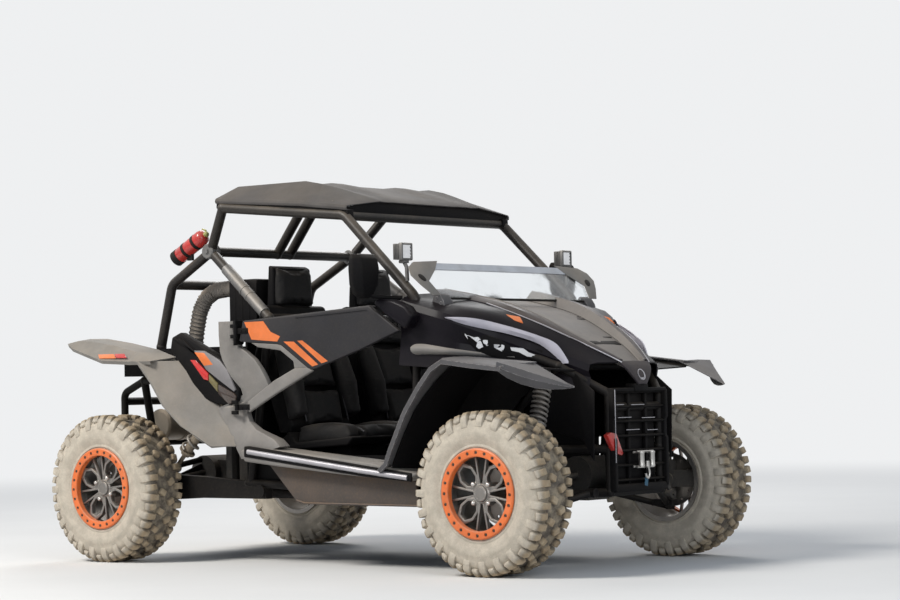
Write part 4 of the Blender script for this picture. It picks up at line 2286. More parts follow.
@dataclass
class Roof:
    """Moulded roof with bevelled sides and two raised ribs."""

    # Place along the machine, ridge half width and height, eave half width and height
    stations: Sequence[tuple[float, float, float, float, float]] = (
        (-0.560, 0.470, 1.742, 0.590, 1.692), (-0.520, 0.474, 1.7645, 0.599, 1.688),
        (-0.320, 0.468, 1.7645, 0.603, 1.672),
        (-0.110, 0.462, 1.7645, 0.605, 1.655), (-0.010, 0.446, 1.744, 0.605, 1.646),
        (0.085, 0.420, 1.716, 0.605, 1.634),
        (0.180, 0.402, 1.684, 0.603, 1.623), (0.266, 0.380, 1.652, 0.600, 1.612),
    )
    # Left half of the front lip as (y, z), its place along the machine and its depth
    lip_half: Outline = ((0.380, 1.646), (0.592, 1.619), (0.594, 1.602), (0.578, 1.580))
    lip_x: float = 0.246
    lip_depth: float = 0.008
    # Places of the bolts as (x, z), their y and the direction that they point in
    bolt_places: Outline = ((-0.440, 1.7075), (-0.150, 1.699), (0.140, 1.651))
    bolt_y: float = 0.545
    bolt_axis: Point = (0, 0.5, 0.86)

    def shell(self) -> bpy.types.Object:
        """The roof's skin.

        Returns:
            The piece, not yet dressed.
        """
        rows = []
        for index, (x, ridge_y, ridge_z, eave_y, eave_z) in enumerate(self.stations):
            sunk = 0.010 if 0 < index < 6 else 0.002
            half = (
                (0, ridge_z - sunk), (0.16, ridge_z - sunk), (0.19, ridge_z - 0.001), (0.27, ridge_z - 0.001),
                (0.30, ridge_z - sunk),
                (ridge_y - 0.05, ridge_z - sunk), (ridge_y - 0.015, ridge_z), (ridge_y, ridge_z - 0.002),
                (eave_y - 0.006, eave_z + 0.012), (eave_y, eave_z), (eave_y - 0.004, eave_z - 0.011),
                (eave_y - 0.030, eave_z - 0.012),
            )
            rows.append(across(half, x))
        shell = sheet("roof_shell", rows, 0.005)
        return bevelled(shell, 0.003, 2, 18)

    def rail(self) -> bpy.types.Object:
        """The black rail that closes the gap between the left eave and the cage.

        Returns:
            The piece, not yet dressed.
        """
        rows = []
        for x, _, _, eave_y, eave_z in self.stations:
            rows.append(
                [
                    (x, eave_y - 0.012, eave_z - 0.006), (x, eave_y - 0.010, eave_z - 0.030),
                    (x, eave_y - 0.022, eave_z - 0.046),
                    (x, eave_y - 0.052, eave_z - 0.046), (x, eave_y - 0.052, eave_z - 0.006),
                ]
            )
        return bevelled(sheet("roof_rail", rows, closed=True), 0.003, 2, 30)

    def front_lip(self) -> bpy.types.Object:
        """The black lip between the roof's front edge and the cage."""
        outline = list(self.lip_half) + [(-y, z) for y, z in reversed(self.lip_half)]
        return bevelled(
            plate("roof_lip", [(self.lip_x, y, z) for y, z in outline], (self.lip_depth, 0, 0)), 0.002
        )

    def bolts(self) -> bpy.types.Object:
        """Bolts that hold the roof to its rails.

        Returns:
            The piece, not yet dressed.
        """
        head = ((0, -0.002), (0.008, -0.002), (0.006, 0.003), (0, 0.003))
        heads = [
            turned("roof_bolt", head, 8, self.bolt_axis, (x, self.bolt_y, z)) for x, z in self.bolt_places
        ]
        return joined("roof_bolts", heads)

    def build(self) -> None:
        """Model and dress the roof."""
        seat_on(self.shell(), "chassis", Finish.ROOF, "roof_plastic", "roof_panel")
        pair_on("roof_bolts_both", self.bolts(), Finish.DARK_BOLT, "cage_steel")
        pair_on("roof_rails", self.rail(), Finish.BLACK, "roof_plastic")
        seat_on(self.front_lip(), "chassis", Finish.BLACK, "roof_plastic")


# Running gear, cabin and fittings


@dataclass
class Shocks:
    """Shock absorbers with their coil springs."""

    # Label, top eye, foot eye, turns of the spring, share of the length at which it starts
    units: Sequence[tuple[str, Point, Point, float, float]] = (
        ("front", (1.190, 0.375, 0.850), (1.200, 0.552, 0.292), 15.0, 0.34),
        ("rear", (-0.560, 0.470, 0.850), (-0.905, 0.528, 0.440), 8.0, 0.20),
    )
    coil_radius: float = 0.0345
    wire_radius: float = 0.0065
    top_gap: float = 0.046

    def coil(self, low: float, high: float, turns: float) -> bpy.types.Object:
        """The coil spring between two places along the shock.

        Args:
            low: Where it starts, from the lower eye.
            high: Where it ends.
            turns: How many turns it has.

        Returns:
            The piece, not yet dressed.
        """
        select_only()
        bpy.ops.mesh.primitive_circle_add(vertices=8, fill_type="NGON")
        piece = bpy.context.active_object
        for index, vertex in enumerate(piece.data.vertices):
            angle = FULL_TURN * index / 8
            vertex.co = (
                self.coil_radius + self.wire_radius * math.cos(angle), 0,
                low + self.wire_radius * (1 + math.sin(angle)),
            )
        rise = high - low - 2 * self.wire_radius
        apply_modifier(
            piece, "SCREW", axis="Z", angle=FULL_TURN * turns, screw_offset=rise, steps=int(turns * 20),
            render_steps=int(turns * 20)
        )
        tidy_normals(piece)
        return smoothed(piece, 60)

    def body(self, length: float, low: float, high: float) -> bpy.types.Object:
        """The damper's body, spring seats and eyes.

        Args:
            length: Distance between the eyes.
            low: Place of the lower spring seat.
            high: Place of the upper spring seat.

        Returns:
            The piece, not yet dressed.
        """
        profile = (
            (0.0, 0.012), (0.0105, 0.012), (0.0105, low - 0.030), (0.0225, low - 0.026),
            (0.0235, low - 0.020), (0.0235, low - 0.010),
            (0.0400, low - 0.009), (0.0408, low - 0.001), (0.0225, low), (0.0225, high),
            (0.0400, high + 0.001), (0.0405, high + 0.008),
            (0.0300, high + 0.012), (0.0235, high + 0.016), (0.0235, length - 0.018), (0.0, length - 0.018),
        )
        parts = [smoothed(turned("damper", profile, 32), 30)]
        for place in (0.0, length):
            ring = (
                (0.0075, -0.017), (0.0215, -0.017), (0.0230, -0.014), (0.0230, 0.014), (0.0215, 0.017),
                (0.0075, 0.017),
            )
            parts.append(smoothed(turned("eye", ring, 24, (1, 0, 0), (0, 0, place)), 30))
            bolt = ((0.0, -0.026), (0.0085, -0.026), (0.0085, 0.026), (0.0, 0.026))
            parts.append(smoothed(turned("eye_bolt", bolt, 6, (1, 0, 0), (0, 0, place)), 30))
        damper = parts[0]
        # The profile is turned about Y, so it is laid along Z
        damper.data.transform(Matrix.Rotation(math.radians(90), 4, "X"))
        return joined("shock_body", parts)

    def build(self) -> None:
        """Model and dress each pair."""
        for label, top, foot, turns, start in self.units:
            axis = Vector(top) - Vector(foot)
            place = Matrix.Translation(foot) @ axis.to_track_quat("Z", "Y").to_matrix().to_4x4()
            low, high = axis.length * start, axis.length - self.top_gap
            coil, body = self.coil(low, high, turns), self.body(axis.length, low, high)
            for piece in (coil, body):
                piece.data.transform(place)
            finish = Finish.DARK_SPRING if label == "front" else Finish.SPRING
            pair_on(f"{label}_springs", coil, finish, "shock_metal")
            damper = Finish.CAST if label == "front" else Finish.DAMPER
            pair_on(f"{label}_dampers", body, damper, "shock_metal", f"{label}_shocks")


@dataclass
class Seats:
    """Bolstered seats with padded covers over a moulded shell."""

    centre: float = 0.290
    voxel: float = 0.007
    cap: float = 0.011
    pressure: float = 4.0
    # Steps of the cloth simulation
    moments: int = 20
    # Outlines of the moulded shell's parts as (x, z)
    back_shell: Outline = (
        (-0.200, 0.600), (-0.176, 0.636), (-0.240, 0.830), (-0.302, 1.060), (-0.322, 1.190), (-0.352, 1.200),
        (-0.386, 1.190), (-0.380, 1.100), (-0.320, 0.760), (-0.262, 0.600),
    )
    base_shell: Outline = (
        (-0.262, 0.548), (-0.200, 0.524), (0.170, 0.546), (0.206, 0.580), (0.190, 0.588), (-0.140, 0.560),
        (-0.190, 0.610),
    )
    head_shell: Outline = (
        (-0.382, 1.180), (-0.350, 1.180), (-0.352, 1.372), (-0.384, 1.388), (-0.396, 1.200),
    )
    # Piping as (x, z), and its distance from the seat's middle
    back_piping: Outline = ((-0.142, 0.655), (-0.188, 0.810), (-0.252, 1.010), (-0.288, 1.112))
    cushion_piping: Outline = ((-0.110, 0.612), (0.035, 0.622), (0.170, 0.634), (0.205, 0.606))
    piping_y: float = 0.146
    piping_radius: float = 0.0035
    # Name, outline as (x, z), half width at the outline, distance of its middle from the seat's middle
    pads: Sequence[tuple[str, Outline, float, float]] = (
        (
            "cushion_front", ((0.040, 0.560), (0.190, 0.572), (0.204, 0.604), (0.186, 0.626), (0.040, 0.618)),
            0.128, 0.0,
        ),
        ("cushion_rear", ((-0.135, 0.552), (0.030, 0.560), (0.030, 0.612), (-0.105, 0.598)), 0.128, 0.0),
        (
            "cushion_bolster",
            ((-0.140, 0.556), (0.160, 0.560), (0.186, 0.590), (0.160, 0.640), (0.020, 0.646), (-0.120, 0.632)),
            0.036, 0.182,
        ),
        ("lumbar", ((-0.178, 0.640), (-0.140, 0.640), (-0.184, 0.800), (-0.232, 0.800)), 0.128, 0.0),
        ("back", ((-0.236, 0.812), (-0.186, 0.812), (-0.246, 1.000), (-0.290, 1.000)), 0.128, 0.0),
        ("shoulders", ((-0.293, 1.012), (-0.250, 1.012), (-0.282, 1.115), (-0.318, 1.115)), 0.138, 0.0),
        (
            "back_bolster",
            (
                (-0.195, 0.660), (-0.120, 0.690), (-0.140, 0.840), (-0.205, 0.990), (-0.262, 1.070),
                (-0.300, 1.060), (-0.262, 0.900),
            ),
            0.034, 0.186,
        ),
        (
            "head_rest",
            (
                (-0.348, 1.195), (-0.318, 1.200), (-0.330, 1.340), (-0.350, 1.378), (-0.378, 1.372),
                (-0.384, 1.210),
            ),
            0.122, 0.0,
        ),
    )

    def pad(self, name: str, outline: Outline, half: float, offset: float) -> bpy.types.Object:
        """One cover, swollen over its filling.

        Args:
            name: The pad's name.
            outline: Corners of its side view as (x, z).
            half: Half its width.
            offset: Distance of its middle to the left of the seat's middle.

        Returns:
            The padded piece.
        """
        middle = self.centre + offset
        piece = slab(name, outline, middle - half, middle + half, 0.010, 2)
        apply_modifier(piece, "REMESH", mode="VOXEL", voxel_size=self.voxel)
        start = [vertex.co.copy() for vertex in piece.data.vertices]
        select_only(piece)
        cloth = piece.modifiers.new("Cloth", "CLOTH")
        cloth.settings.use_pressure = True
        cloth.settings.uniform_pressure_force = self.pressure
        cloth.settings.effector_weights.gravity = 0.0
        for moment in range(1, self.moments + 1):
            bpy.context.scene.frame_set(moment)
        bpy.ops.object.modifier_apply(modifier=cloth.name)
        bpy.context.scene.frame_set(1)
        for vertex, place in zip(piece.data.vertices, start):
            shift = vertex.co - place
            if shift.length > self.cap:
                vertex.co = place + shift * (self.cap / shift.length)
        apply_modifier(piece, "SUBSURF", levels=1, render_levels=1)
        return smoothed(piece, 180)

    def shell(self) -> bpy.types.Object:
        """The moulded shell behind and below the pads.

        Returns:
            The piece, not yet dressed.
        """
        y = self.centre
        # Name, outline, half width and rounding
        rows = (
            ("back_shell", self.back_shell, 0.205, 0.014),
            ("base_shell", self.base_shell, 0.222, 0.010),
            ("head_shell", self.head_shell, 0.132, 0.010),
        )
        parts = [
            slab(name, outline, y - half, y + half, rounding, 3) for name, outline, half, rounding in rows
        ]
        parts.append(block("pedestal", (-0.190, y - 0.130, 0.360), (0.110, y + 0.130, 0.545), 0.012))
        return joined("seat_shell", parts)

    def piping(self) -> bpy.types.Object:
        """Piping down both sides of the back and round the cushion.

        Returns:
            The piece, not yet dressed.
        """
        lines = []
        for side in (-self.piping_y, self.piping_y):
            for name, run in (("back_piping", self.back_piping), ("cushion_piping", self.cushion_piping)):
                route = [(x, self.centre + side, z) for x, z in run]
                lines.append(pipe(name, route, self.piping_radius, 8, True))
        return joined("seat_piping", lines)

    def build(self) -> None:
        """Model the left seat and mirror it."""
        pads = []
        for name, outline, half, offset in self.pads:
            pads.append(self.pad(name, outline, half, offset))
            if offset:
                twin = copied(pads[-1], name + "_inner", Matrix.Translation((0, -2 * offset, 0)))
                pads.append(twin)
        padding = joined("seat_padding_left_look", pads)
        shell, trim = self.shell(), self.piping()
        shell.name, trim.name = "seat_shell_left_look", "seat_piping_left_look"
        for piece, finish, nodes in (
            (shell, Finish.BLACK, ["seat_left"]), (padding, Finish.SEAT, []), (trim, Finish.TRIM, [])
        ):
            twin = mirrored(piece, piece.name.replace("left", "right"))
            for side_piece, side in ((piece, "left"), (twin, "right")):
                stands_for = [node.replace("left", side) for node in nodes]
                seat_on(side_piece, "chassis", finish, "seat_cover", *stands_for)


@dataclass
class Screen:
    """Half-height clear windshield with its folded top band, corner plates and foot brackets."""

    foot: Point = (0.768, 0.555, 1.188)
    top: Point = (0.650, 0.610, 1.348)
    fold: Point = (0.672, 0.600, 1.318)
    # How far the middle stands forward, and the places across it as shares of its half width
    bow: float = 0.014
    shares: Sequence[float] = (-1, -0.75, -0.5, -0.25, 0, 0.25, 0.5, 0.75, 1)
    bracket_outline: Outline = (
        (0.728, 1.158), (0.798, 1.146), (0.790, 1.176), (0.770, 1.204), (0.742, 1.210), (0.726, 1.190),
    )
    bracket_bolts: Outline = ((0.776, 1.166), (0.752, 1.190))
    # The grommet's middle, and half its length and half its width as arrows
    grommet_centre: Point = (0.7122, 0.614, 1.2787)
    grommet_along: Point = (0.0098, -0.0152, -0.0132)
    grommet_aside: Point = (0.0068, 0.0125, -0.0092)
    # Outline of the left corner plate
    corner: Sequence[Point] = (
        (0.6696, 0.6640, 1.3214), (0.6516, 0.6090, 1.3458), (0.6449, 0.4340, 1.3549),
        (0.6763, 0.4880, 1.3124),
        (0.7150, 0.5780, 1.2599), (0.7607, 0.5530, 1.1979), (0.7613, 0.6090, 1.1971),
        (0.7256, 0.6540, 1.2454),
        (0.6965, 0.6800, 1.2849),
    )

    def bowed(self, x: float, half: float, z: float) -> list[Point]:
        """Points across the screen from right to left, bowed forward in the middle."""
        return [(x + self.bow * (1 - share**2), share * half, z) for share in self.shares]

    def pane(self) -> bpy.types.Object:
        """The clear pane, bowed forward in the middle."""
        rows = [self.bowed(*row) for row in (self.foot, self.fold, self.top)]
        return smoothed(sheet("pane", eased(rows, 3), 0.004), 40)

    def edges(self) -> bpy.types.Object:
        """Dark edging along the pane's foot."""
        return pipe("pane_seal", self.bowed(*self.foot), 0.006, 8)

    def band(self) -> bpy.types.Object:
        """The folded band along the top of the pane."""
        rows = [self.bowed(x + 0.003, half, z + 0.001) for x, half, z in (self.fold, self.top)]
        return smoothed(sheet("pane_band", rows, 0.006), 40)

    def bracket(self) -> bpy.types.Object:
        """The left foot bracket.

        Returns:
            The piece, not yet dressed.
        """
        bracket = slab("bracket", self.bracket_outline, 0.500, 0.566, 0.005)
        head = ((0, -0.002), (0.008, -0.002), (0.007, 0.003), (0, 0.003))
        bolts = [turned("screen_bolt", head, 6, (0, 1, 0), (x, 0.5665, z)) for x, z in self.bracket_bolts]
        return smoothed(joined("screen_bracket", (bracket, *bolts)), 30)

    def corner_plate(self) -> bpy.types.Object:
        """The plate that stiffens the screen's upper left corner, down to the foot bracket."""
        piece = plate(
            "corner_plate", [(x + 0.004, y, z + 0.003) for x, y, z in self.corner], (0.0032, 0, 0.0024)
        )
        return bevelled(piece, 0.0012)

    def grommet(self) -> bpy.types.Object:
        """The long dark grommet in the corner plate.

        Returns:
            The piece, not yet dressed.
        """
        centre, along, aside = (
            Vector(row) for row in (self.grommet_centre, self.grommet_along, self.grommet_aside)
        )
        turns = [FULL_TURN * index / 16 for index in range(16)]
        corners = [tuple(centre + along * math.cos(turn) + aside * math.sin(turn)) for turn in turns]
        return bevelled(plate("grommet", corners, (0.0020, 0, 0.0015)), 0.0008)

    def build(self) -> None:
        """Model and dress the windshield."""
        seat_on(self.pane(), "chassis", Finish.SCREEN, "clear_screen", "windshield")
        seat_on(self.edges(), "chassis", Finish.RUBBER, "grip_rubber")
        seat_on(self.band(), "chassis", Finish.FOLD, "clear_screen")
        pair_on("screen_brackets", self.bracket(), Finish.FLARE, "cast_metal")
        pair_on("screen_corner_plates", self.corner_plate(), Finish.TAIL, "cast_metal")
        pair_on("screen_grommets", self.grommet(), Finish.RUBBER, "grip_rubber")


@dataclass
class LampsAndMirrors:
    """Cube lamps on the pillars and the side mirrors."""

    lamp_centre: Point = (0.588, 0.593, 1.399)
    half: float = 0.039
    mirror_centre: Point = (0.486, 0.735, 1.295)
    # Height from the centre, front and rear x offsets and half width of each of the housing's rows
    mirror_rows: Sequence[tuple[float, float, float, float]] = (
        (-0.100, 0.010, -0.022, 0.024), (-0.085, 0.020, -0.030, 0.052), (-0.040, 0.030, -0.032, 0.078),
        (0.030, 0.034, -0.032, 0.084), (0.075, 0.026, -0.030, 0.082), (0.094, 0.006, -0.028, 0.070),
    )

    def lamp_body(self) -> bpy.types.Object:
        """Finned lamp body with its bracket.

        Returns:
            The piece, not yet dressed.
        """
        x, y, z = self.lamp_centre
        half = self.half
        parts = [block("lamp_bezel", (x + 0.004, y - half, z - half), (x + 0.026, y + half, z + half), 0.006)]
        cut = block(
            "lamp_cut", (x + 0.018, y - half + 0.009, z - half + 0.009),
            (x + 0.040, y + half - 0.009, z + half - 0.009), 0.002,
        )
        carved(parts[0], cut)
        for index in range(4):
            start = x - 0.028 + index * 0.008
            parts.append(
                block(
                    "fin", (start, y - half + 0.004, z - half + 0.004),
                    (start + 0.004, y + half - 0.004, z + half - 0.004), 0.001,
                )
            )
        parts.append(
            block(
                "core", (x - 0.026, y - half + 0.012, z - half + 0.012),
                (x + 0.006, y + half - 0.012, z + half - 0.012), 0.002,
            )
        )
        parts.append(
            pipe(
                "stalk",
                (
                    (x + 0.004, y, z - half - 0.004), (x + 0.020, y, z - 0.070),
                    (x + 0.020, y - 0.003, z - 0.130),
                ),
                0.009, 12,
            )
        )
        parts.append(
            block(
                "yoke", (x - 0.012, y - 0.018, z - half - 0.012), (x + 0.020, y + 0.018, z - half + 0.002),
                0.003,
            )
        )
        return smoothed(joined("lamp_body", parts), 35)

    def lamp_glass(self) -> bpy.types.Object:
        """The lamp's ribbed lens.

        Returns:
            The piece, not yet dressed.
        """
        x, y, z = self.lamp_centre
        reach = self.half - 0.010
        rows = []
        for row in range(9):
            height = z - reach + row * reach / 4
            rows.append(
                [
                    (
                        x + 0.020 + (0.003 if (row + column) % 2 else 0.0), y - reach + column * reach / 4,
                        height,
                    )
                    for column in range(9)
                ]
            )
        return smoothed(sheet("lamp_glass", rows, 0.003), 60)

    def mirror(self) -> bpy.types.Object:
        """Mirror housing that narrows to its foot, with its arm.

        Returns:
            The piece, not yet dressed.
        """
        x, y, z = self.mirror_centre
        rows = []
        for rise, front, rear, half in self.mirror_rows:
            middle, level = x + (front + rear) / 2, z + rise
            rows.append(
                [
                    (x + front, y - half * 0.7, level),
                    (x + front, y + half * 0.6, level),
                    (middle, y + half, level),
                    (x + rear, y + half * 0.9, level),
                    (x + rear, y - half, level),
                    (middle, y - half, level),
                ]
            )
        housing = bevelled(sheet("mirror_housing", rows, closed=True), 0.006, 3, 25)
        arm = pipe(
            "mirror_arm",
            (
                (x - 0.002, y - 0.010, z - 0.080), (x + 0.030, y - 0.060, z - 0.100),
                (x + 0.100, y - 0.135, z - 0.100),
            ),
            0.011, 12, True,
        )
        return joined("mirror", (housing, arm))

    def glass(self) -> bpy.types.Object:
        """The mirror's glass, facing back.

        Returns:
            The piece, not yet dressed.
        """
        x, y, z = self.mirror_centre
        outline = ((-0.066, -0.052), (0.062, -0.052), (0.068, 0.062), (-0.068, 0.062))
        corners = [(x - 0.0325, y + aside, z + rise) for aside, rise in outline]
        return bevelled(plate("mirror_glass", corners, (-0.002, 0, 0)), 0.0008)

    def top_edge(self) -> bpy.types.Object:
        """The pale edge along the mirror's top."""
        x, y, z = self.mirror_centre
        return pipe(
            "mirror_edge", ((x + 0.002, y - 0.062, z + 0.0925), (x + 0.004, y + 0.050, z + 0.0925)), 0.003, 8
        )

    def build(self) -> None:
        """Model and dress lamps and mirrors."""
        pair_on("lamp_bodies", self.lamp_body(), Finish.LAMP_BODY, "cast_metal", "lamp_pods")
        pair_on("lamp_glasses", self.lamp_glass(), Finish.CHROME, "lamp_lens")
        pair_on("mirror_housings", self.mirror(), Finish.BLACK, "black_plastic", "mirrors")
        pair_on("mirror_glasses", self.glass(), Finish.CHROME, "bright_steel")
        pair_on("mirror_edges", self.top_edge(), Finish.BODY, "bright_steel")


@dataclass
class Fittings:
    """Air hose with its box, extinguisher, steering wheel and silencer."""

    hose_radius: float = 0.040
    ring_count: int = 34
    hose_y: float = -0.350
    # The hose's route as (x, z)
    hose_route: Outline = (
        (-0.960, 0.892), (-0.942, 1.000), (-0.925, 1.100), (-0.902, 1.190), (-0.860, 1.250), (-0.800, 1.282),
        (-0.720, 1.290), (-0.636, 1.290),
    )
    groove_depths: tuple[float, float, float] = (0.0, 0.0045, 0.0045)
    silencer_centre: Point = (-1.290, 0, 0.640)
    extinguisher_top: Point = (-0.700, -0.505, 1.548)
    extinguisher_foot: Point = (-0.905, -0.505, 1.438)
    wheel_hub: Point = (0.318, 0.290, 1.062)
    wheel_tilt: float = 28.0
    wheel_radius: float = 0.170
    rim_radius: float = 0.0138

    def hose(self) -> bpy.types.Object:
        """The corrugated hose as rings of two radii along its route.

        Returns:
            The piece, not yet dressed.
        """
        route = [Vector(point) for point in self.hose_route]
        rows = []
        for index in range(self.ring_count * 3 + 1):
            share = index / (self.ring_count * 3) * (len(route) - 1)
            low = min(int(share), len(route) - 2)
            before, after = route[low], route[low + 1]
            place = before.lerp(after, share - low)
            ahead = (route[min(low + 2, len(route) - 1)] - route[max(low - 1, 0)]).normalized()
            side = Vector((-ahead.y, ahead.x))
            radius = self.hose_radius - self.groove_depths[index % 3]
            rows.append(
                [
                    (
                        place.x + side.x * radius * math.cos(angle),
                        self.hose_y + radius * math.sin(angle),
                        place.y + side.y * radius * math.cos(angle),
                    )
                    for angle in (FULL_TURN * step / 20 for step in range(20))
                ]
            )
        return smoothed(sheet("hose", rows, closed=True), 50)

    def air_box(self) -> bpy.types.Object:
        """The intake box that the hose ends in, with its clamp.

        Returns:
            The piece, not yet dressed.
        """
        box = block("air_box", (-0.638, -0.428, 1.092), (-0.452, -0.272, 1.328), 0.016)
        ribs = []
        for index in range(4):
            shift = 0.045 * index
            ribs.append(block("rib", (-0.600 + shift, -0.4295, 1.11), (-0.588 + shift, -0.420, 1.31), 0.002))
        ring = ((0.036, -0.008), (0.0425, -0.008), (0.0425, 0.008), (0.036, 0.008))
        clamp = turned("clamp", ring, 32, (1, 0, 0), (-0.652, self.hose_y, 1.290))
        return joined("air_box", (box, *ribs, smoothed(clamp, 40)))

    def along_bottle(self, piece: bpy.types.Object) -> bpy.types.Object:
        """Lay a piece that was turned about Y along the extinguisher.

        Args:
            piece: The turned piece.

        Returns:
            The same piece.
        """
        axis = Vector(self.extinguisher_top) - Vector(self.extinguisher_foot)
        piece.data.transform(
            Matrix.Translation(self.extinguisher_foot) @ axis.to_track_quat("Y", "Z").to_matrix().to_4x4()
        )
        return piece

    def bottle(self) -> bpy.types.Object:
        """The extinguisher's cylinder with domed ends."""
        profile = (
            (0, 0.004), (0.020, 0.006), (0.032, 0.014), (0.0375, 0.028), (0.0375, 0.196), (0.033, 0.212),
            (0.020, 0.222), (0.012, 0.224), (0.012, 0.228), (0, 0.228),
        )
        return smoothed(self.along_bottle(turned("bottle", profile, 40)), 40)

    def bands(self) -> bpy.types.Object:
        """The dark end cap and the two straps of the bracket.

        Returns:
            The piece, not yet dressed.
        """
        parts = []
        for low, high in ((0.002, 0.036), (0.078, 0.096), (0.150, 0.168)):
            parts.append(
                self.along_bottle(
                    turned("strap", ((0.030, low), (0.0385, low), (0.0385, high), (0.030, high)), 40)
                )
            )
        parts.append(block("strap_foot", (-0.8260, -0.5120, 1.4270), (-0.7900, -0.4980, 1.4650), 0.002))
        return smoothed(joined("straps", parts), 35)

    def valve(self) -> bpy.types.Object:
        """The valve head with its lever.

        Returns:
            The piece, not yet dressed.
        """
        knob = self.along_bottle(
            turned("valve", ((0, 0.220), (0.013, 0.220), (0.014, 0.236), (0.009, 0.242), (0, 0.244)), 16)
        )
        lever = pipe(
            "lever", ((-0.708, -0.505, 1.552), (-0.704, -0.505, 1.566), (-0.728, -0.503, 1.572)), 0.005, 8
        )
        return joined("valve", (knob, lever))

    def steering_place(self) -> Matrix:
        """Matrix that carries the steering wheel from flat, with its bottom towards -Y, to its place.

        Returns:
            The matrix.
        """
        tilt = math.radians(self.wheel_tilt)
        face = Vector((-math.cos(tilt), 0, math.sin(tilt)))
        up = Vector((math.sin(tilt), 0, math.cos(tilt)))
        side = up.cross(face)
        return Matrix.Translation(self.wheel_hub) @ Matrix((side, up, face)).transposed().to_4x4()

    def steering_rim(self) -> bpy.types.Object:
        """The wheel's rim with grips at its sides.

        Returns:
            The piece, not yet dressed.
        """
        circle = [
            (
                self.wheel_radius + self.rim_radius * math.cos(FULL_TURN * step / 12),
                self.rim_radius * math.sin(FULL_TURN * step / 12),
            )
            for step in range(12)
        ]
        rim = smoothed(turned("steering_rim", circle, 72, (0, 0, 1)), 60)
        rim.data.transform(self.steering_place())
        return rim

    def steering_centre(self) -> bpy.types.Object:
        """Spokes and the padded boss.

        Returns:
            The piece, not yet dressed.
        """
        spokes = []
        for angle in (0, 180, 270):
            outline = (
                (0.030, 0.020), (0.080, 0.013), (0.162, 0.016), (0.162, -0.016), (0.080, -0.013),
                (0.030, -0.020),
            )
            spoke = bevelled(plate("spoke", [(x, y, -0.004) for x, y in outline], (0, 0, 0.008)), 0.002)
            spoke.data.transform(Matrix.Rotation(math.radians(angle), 4, "Z"))
            spokes.append(spoke)
        boss = turned(
            "boss",
            ((0, -0.033), (0.024, -0.033), (0.036, -0.008), (0.038, 0.004), (0.034, 0.0095), (0, 0.0098)), 32,
            (0, 0, 1),
        )
        centre = joined("steering_centre", (*spokes, smoothed(boss, 40)))
        centre.data.transform(self.steering_place())
        return centre

    def silencer(self) -> bpy.types.Object:
        """The silencer with rolled ends, straps and tail pipe.

        Returns:
            The piece, not yet dressed.
        """
        profile = (
            (0.0, -0.256), (0.066, -0.258), (0.078, -0.250), (0.0795, -0.244), (0.0765, -0.238),
            (0.0765, 0.238), (0.0795, 0.244), (0.078, 0.250), (0.066, 0.258), (0.0, 0.256),
        )
        can = smoothed(turned("can", profile, 48, (0, 1, 0), self.silencer_centre), 30)
        straps = []
        for y in (-0.12, 0.12):
            ring = ((0.0765, y - 0.010), (0.0798, y - 0.010), (0.0798, y + 0.010), (0.0765, y + 0.010))
            straps.append(smoothed(turned("can_strap", ring, 48, (0, 1, 0), self.silencer_centre), 30))
        lead = pipe("lead_pipe", ((-1.250, 0, 0.640), (-1.050, 0, 0.640), (-0.862, 0, 0.640)), 0.0295, 24)
        end = ((0.020, 0), (0.026, 0), (0.026, 0.045), (0.020, 0.045))
        tail = smoothed(turned("tail_pipe", end, 28, (-1, 0, 0.2), (-1.355, 0.150, 0.650)), 40)
        return joined("silencer", (can, *straps, lead, tail))

    def build(self) -> None:
        """Model and dress the fittings."""
        seat_on(self.hose(), "chassis", Finish.HOSE, "hose_rubber", "air_hose")
        seat_on(self.air_box(), "chassis", Finish.BLACK, "black_plastic")
        seat_on(self.bottle(), "chassis", Finish.RED, "red_paint", "extinguisher")
        seat_on(self.bands(), "chassis", Finish.RUBBER, "grip_rubber")
        seat_on(self.valve(), "chassis", Finish.VALVE, "cast_metal")
        seat_on(self.steering_rim(), "steering", Finish.RUBBER, "grip_rubber", "steering_wheel")
        seat_on(self.steering_centre(), "steering", Finish.CAST, "cast_metal")
        seat_on(self.silencer(), "chassis", Finish.DAMPER, "bright_steel", "exhaust")


@dataclass
class StaySleeves:
    """Clamps and thick sleeves on the cage's diagonal stays."""

    knuckle: Point = (-0.670, 0.505, 1.463)
    foot: Point = (-0.225, 0.590, 1.134)
    # Radius of each sleeve or band, and the shares of the stay between which it lies
    sleeves: Sequence[tuple[float, float, float]] = (
        (0.0272, 0.27, 0.93), (0.0292, 0.58, 0.60), (0.0292, 0.67, 0.69)
    )
    boss_radius: float = 0.036
    boss_half: float = 0.031

    def sleeve(self, radius: float, start: float, end: float) -> bpy.types.Object:
        """A round sleeve over part of the left stay."""
        knuckle, foot = Vector(self.knuckle), Vector(self.foot)
        return pipe("sleeve", [tuple(knuckle.lerp(foot, share)) for share in (start, end)], radius, 24)

    def clamp(self) -> bpy.types.Object:
        """The cast boss round the left knuckle, with its bolt.

        Returns:
            The piece, not yet dressed.
        """
        radius, half = self.boss_radius, self.boss_half
        rim = (
            (0, -half), (radius - 0.005, -half), (radius, 0.005 - half), (radius, half - 0.005),
            (radius - 0.005, half), (0, half),
        )
        boss = turned("boss", rim, 32, (0, 1, 0), self.knuckle)
        bolt = ((0, half - 0.002), (0.012, half - 0.002), (0.012, half + 0.007), (0, half + 0.007))
        return joined("clamp", (smoothed(boss, 30), turned("boss_bolt", bolt, 6, (0, 1, 0), self.knuckle)))

    def build(self) -> None:
        """Model and dress both stays' fittings."""
        parts = [smoothed(self.sleeve(*row), 30) for row in self.sleeves]
        pair_on("stay_sleeves", joined("stay_sleeve", (self.clamp(), *parts)), Finish.LAMP_BODY, "cast_metal")


# CAD nodes that keep their own shape

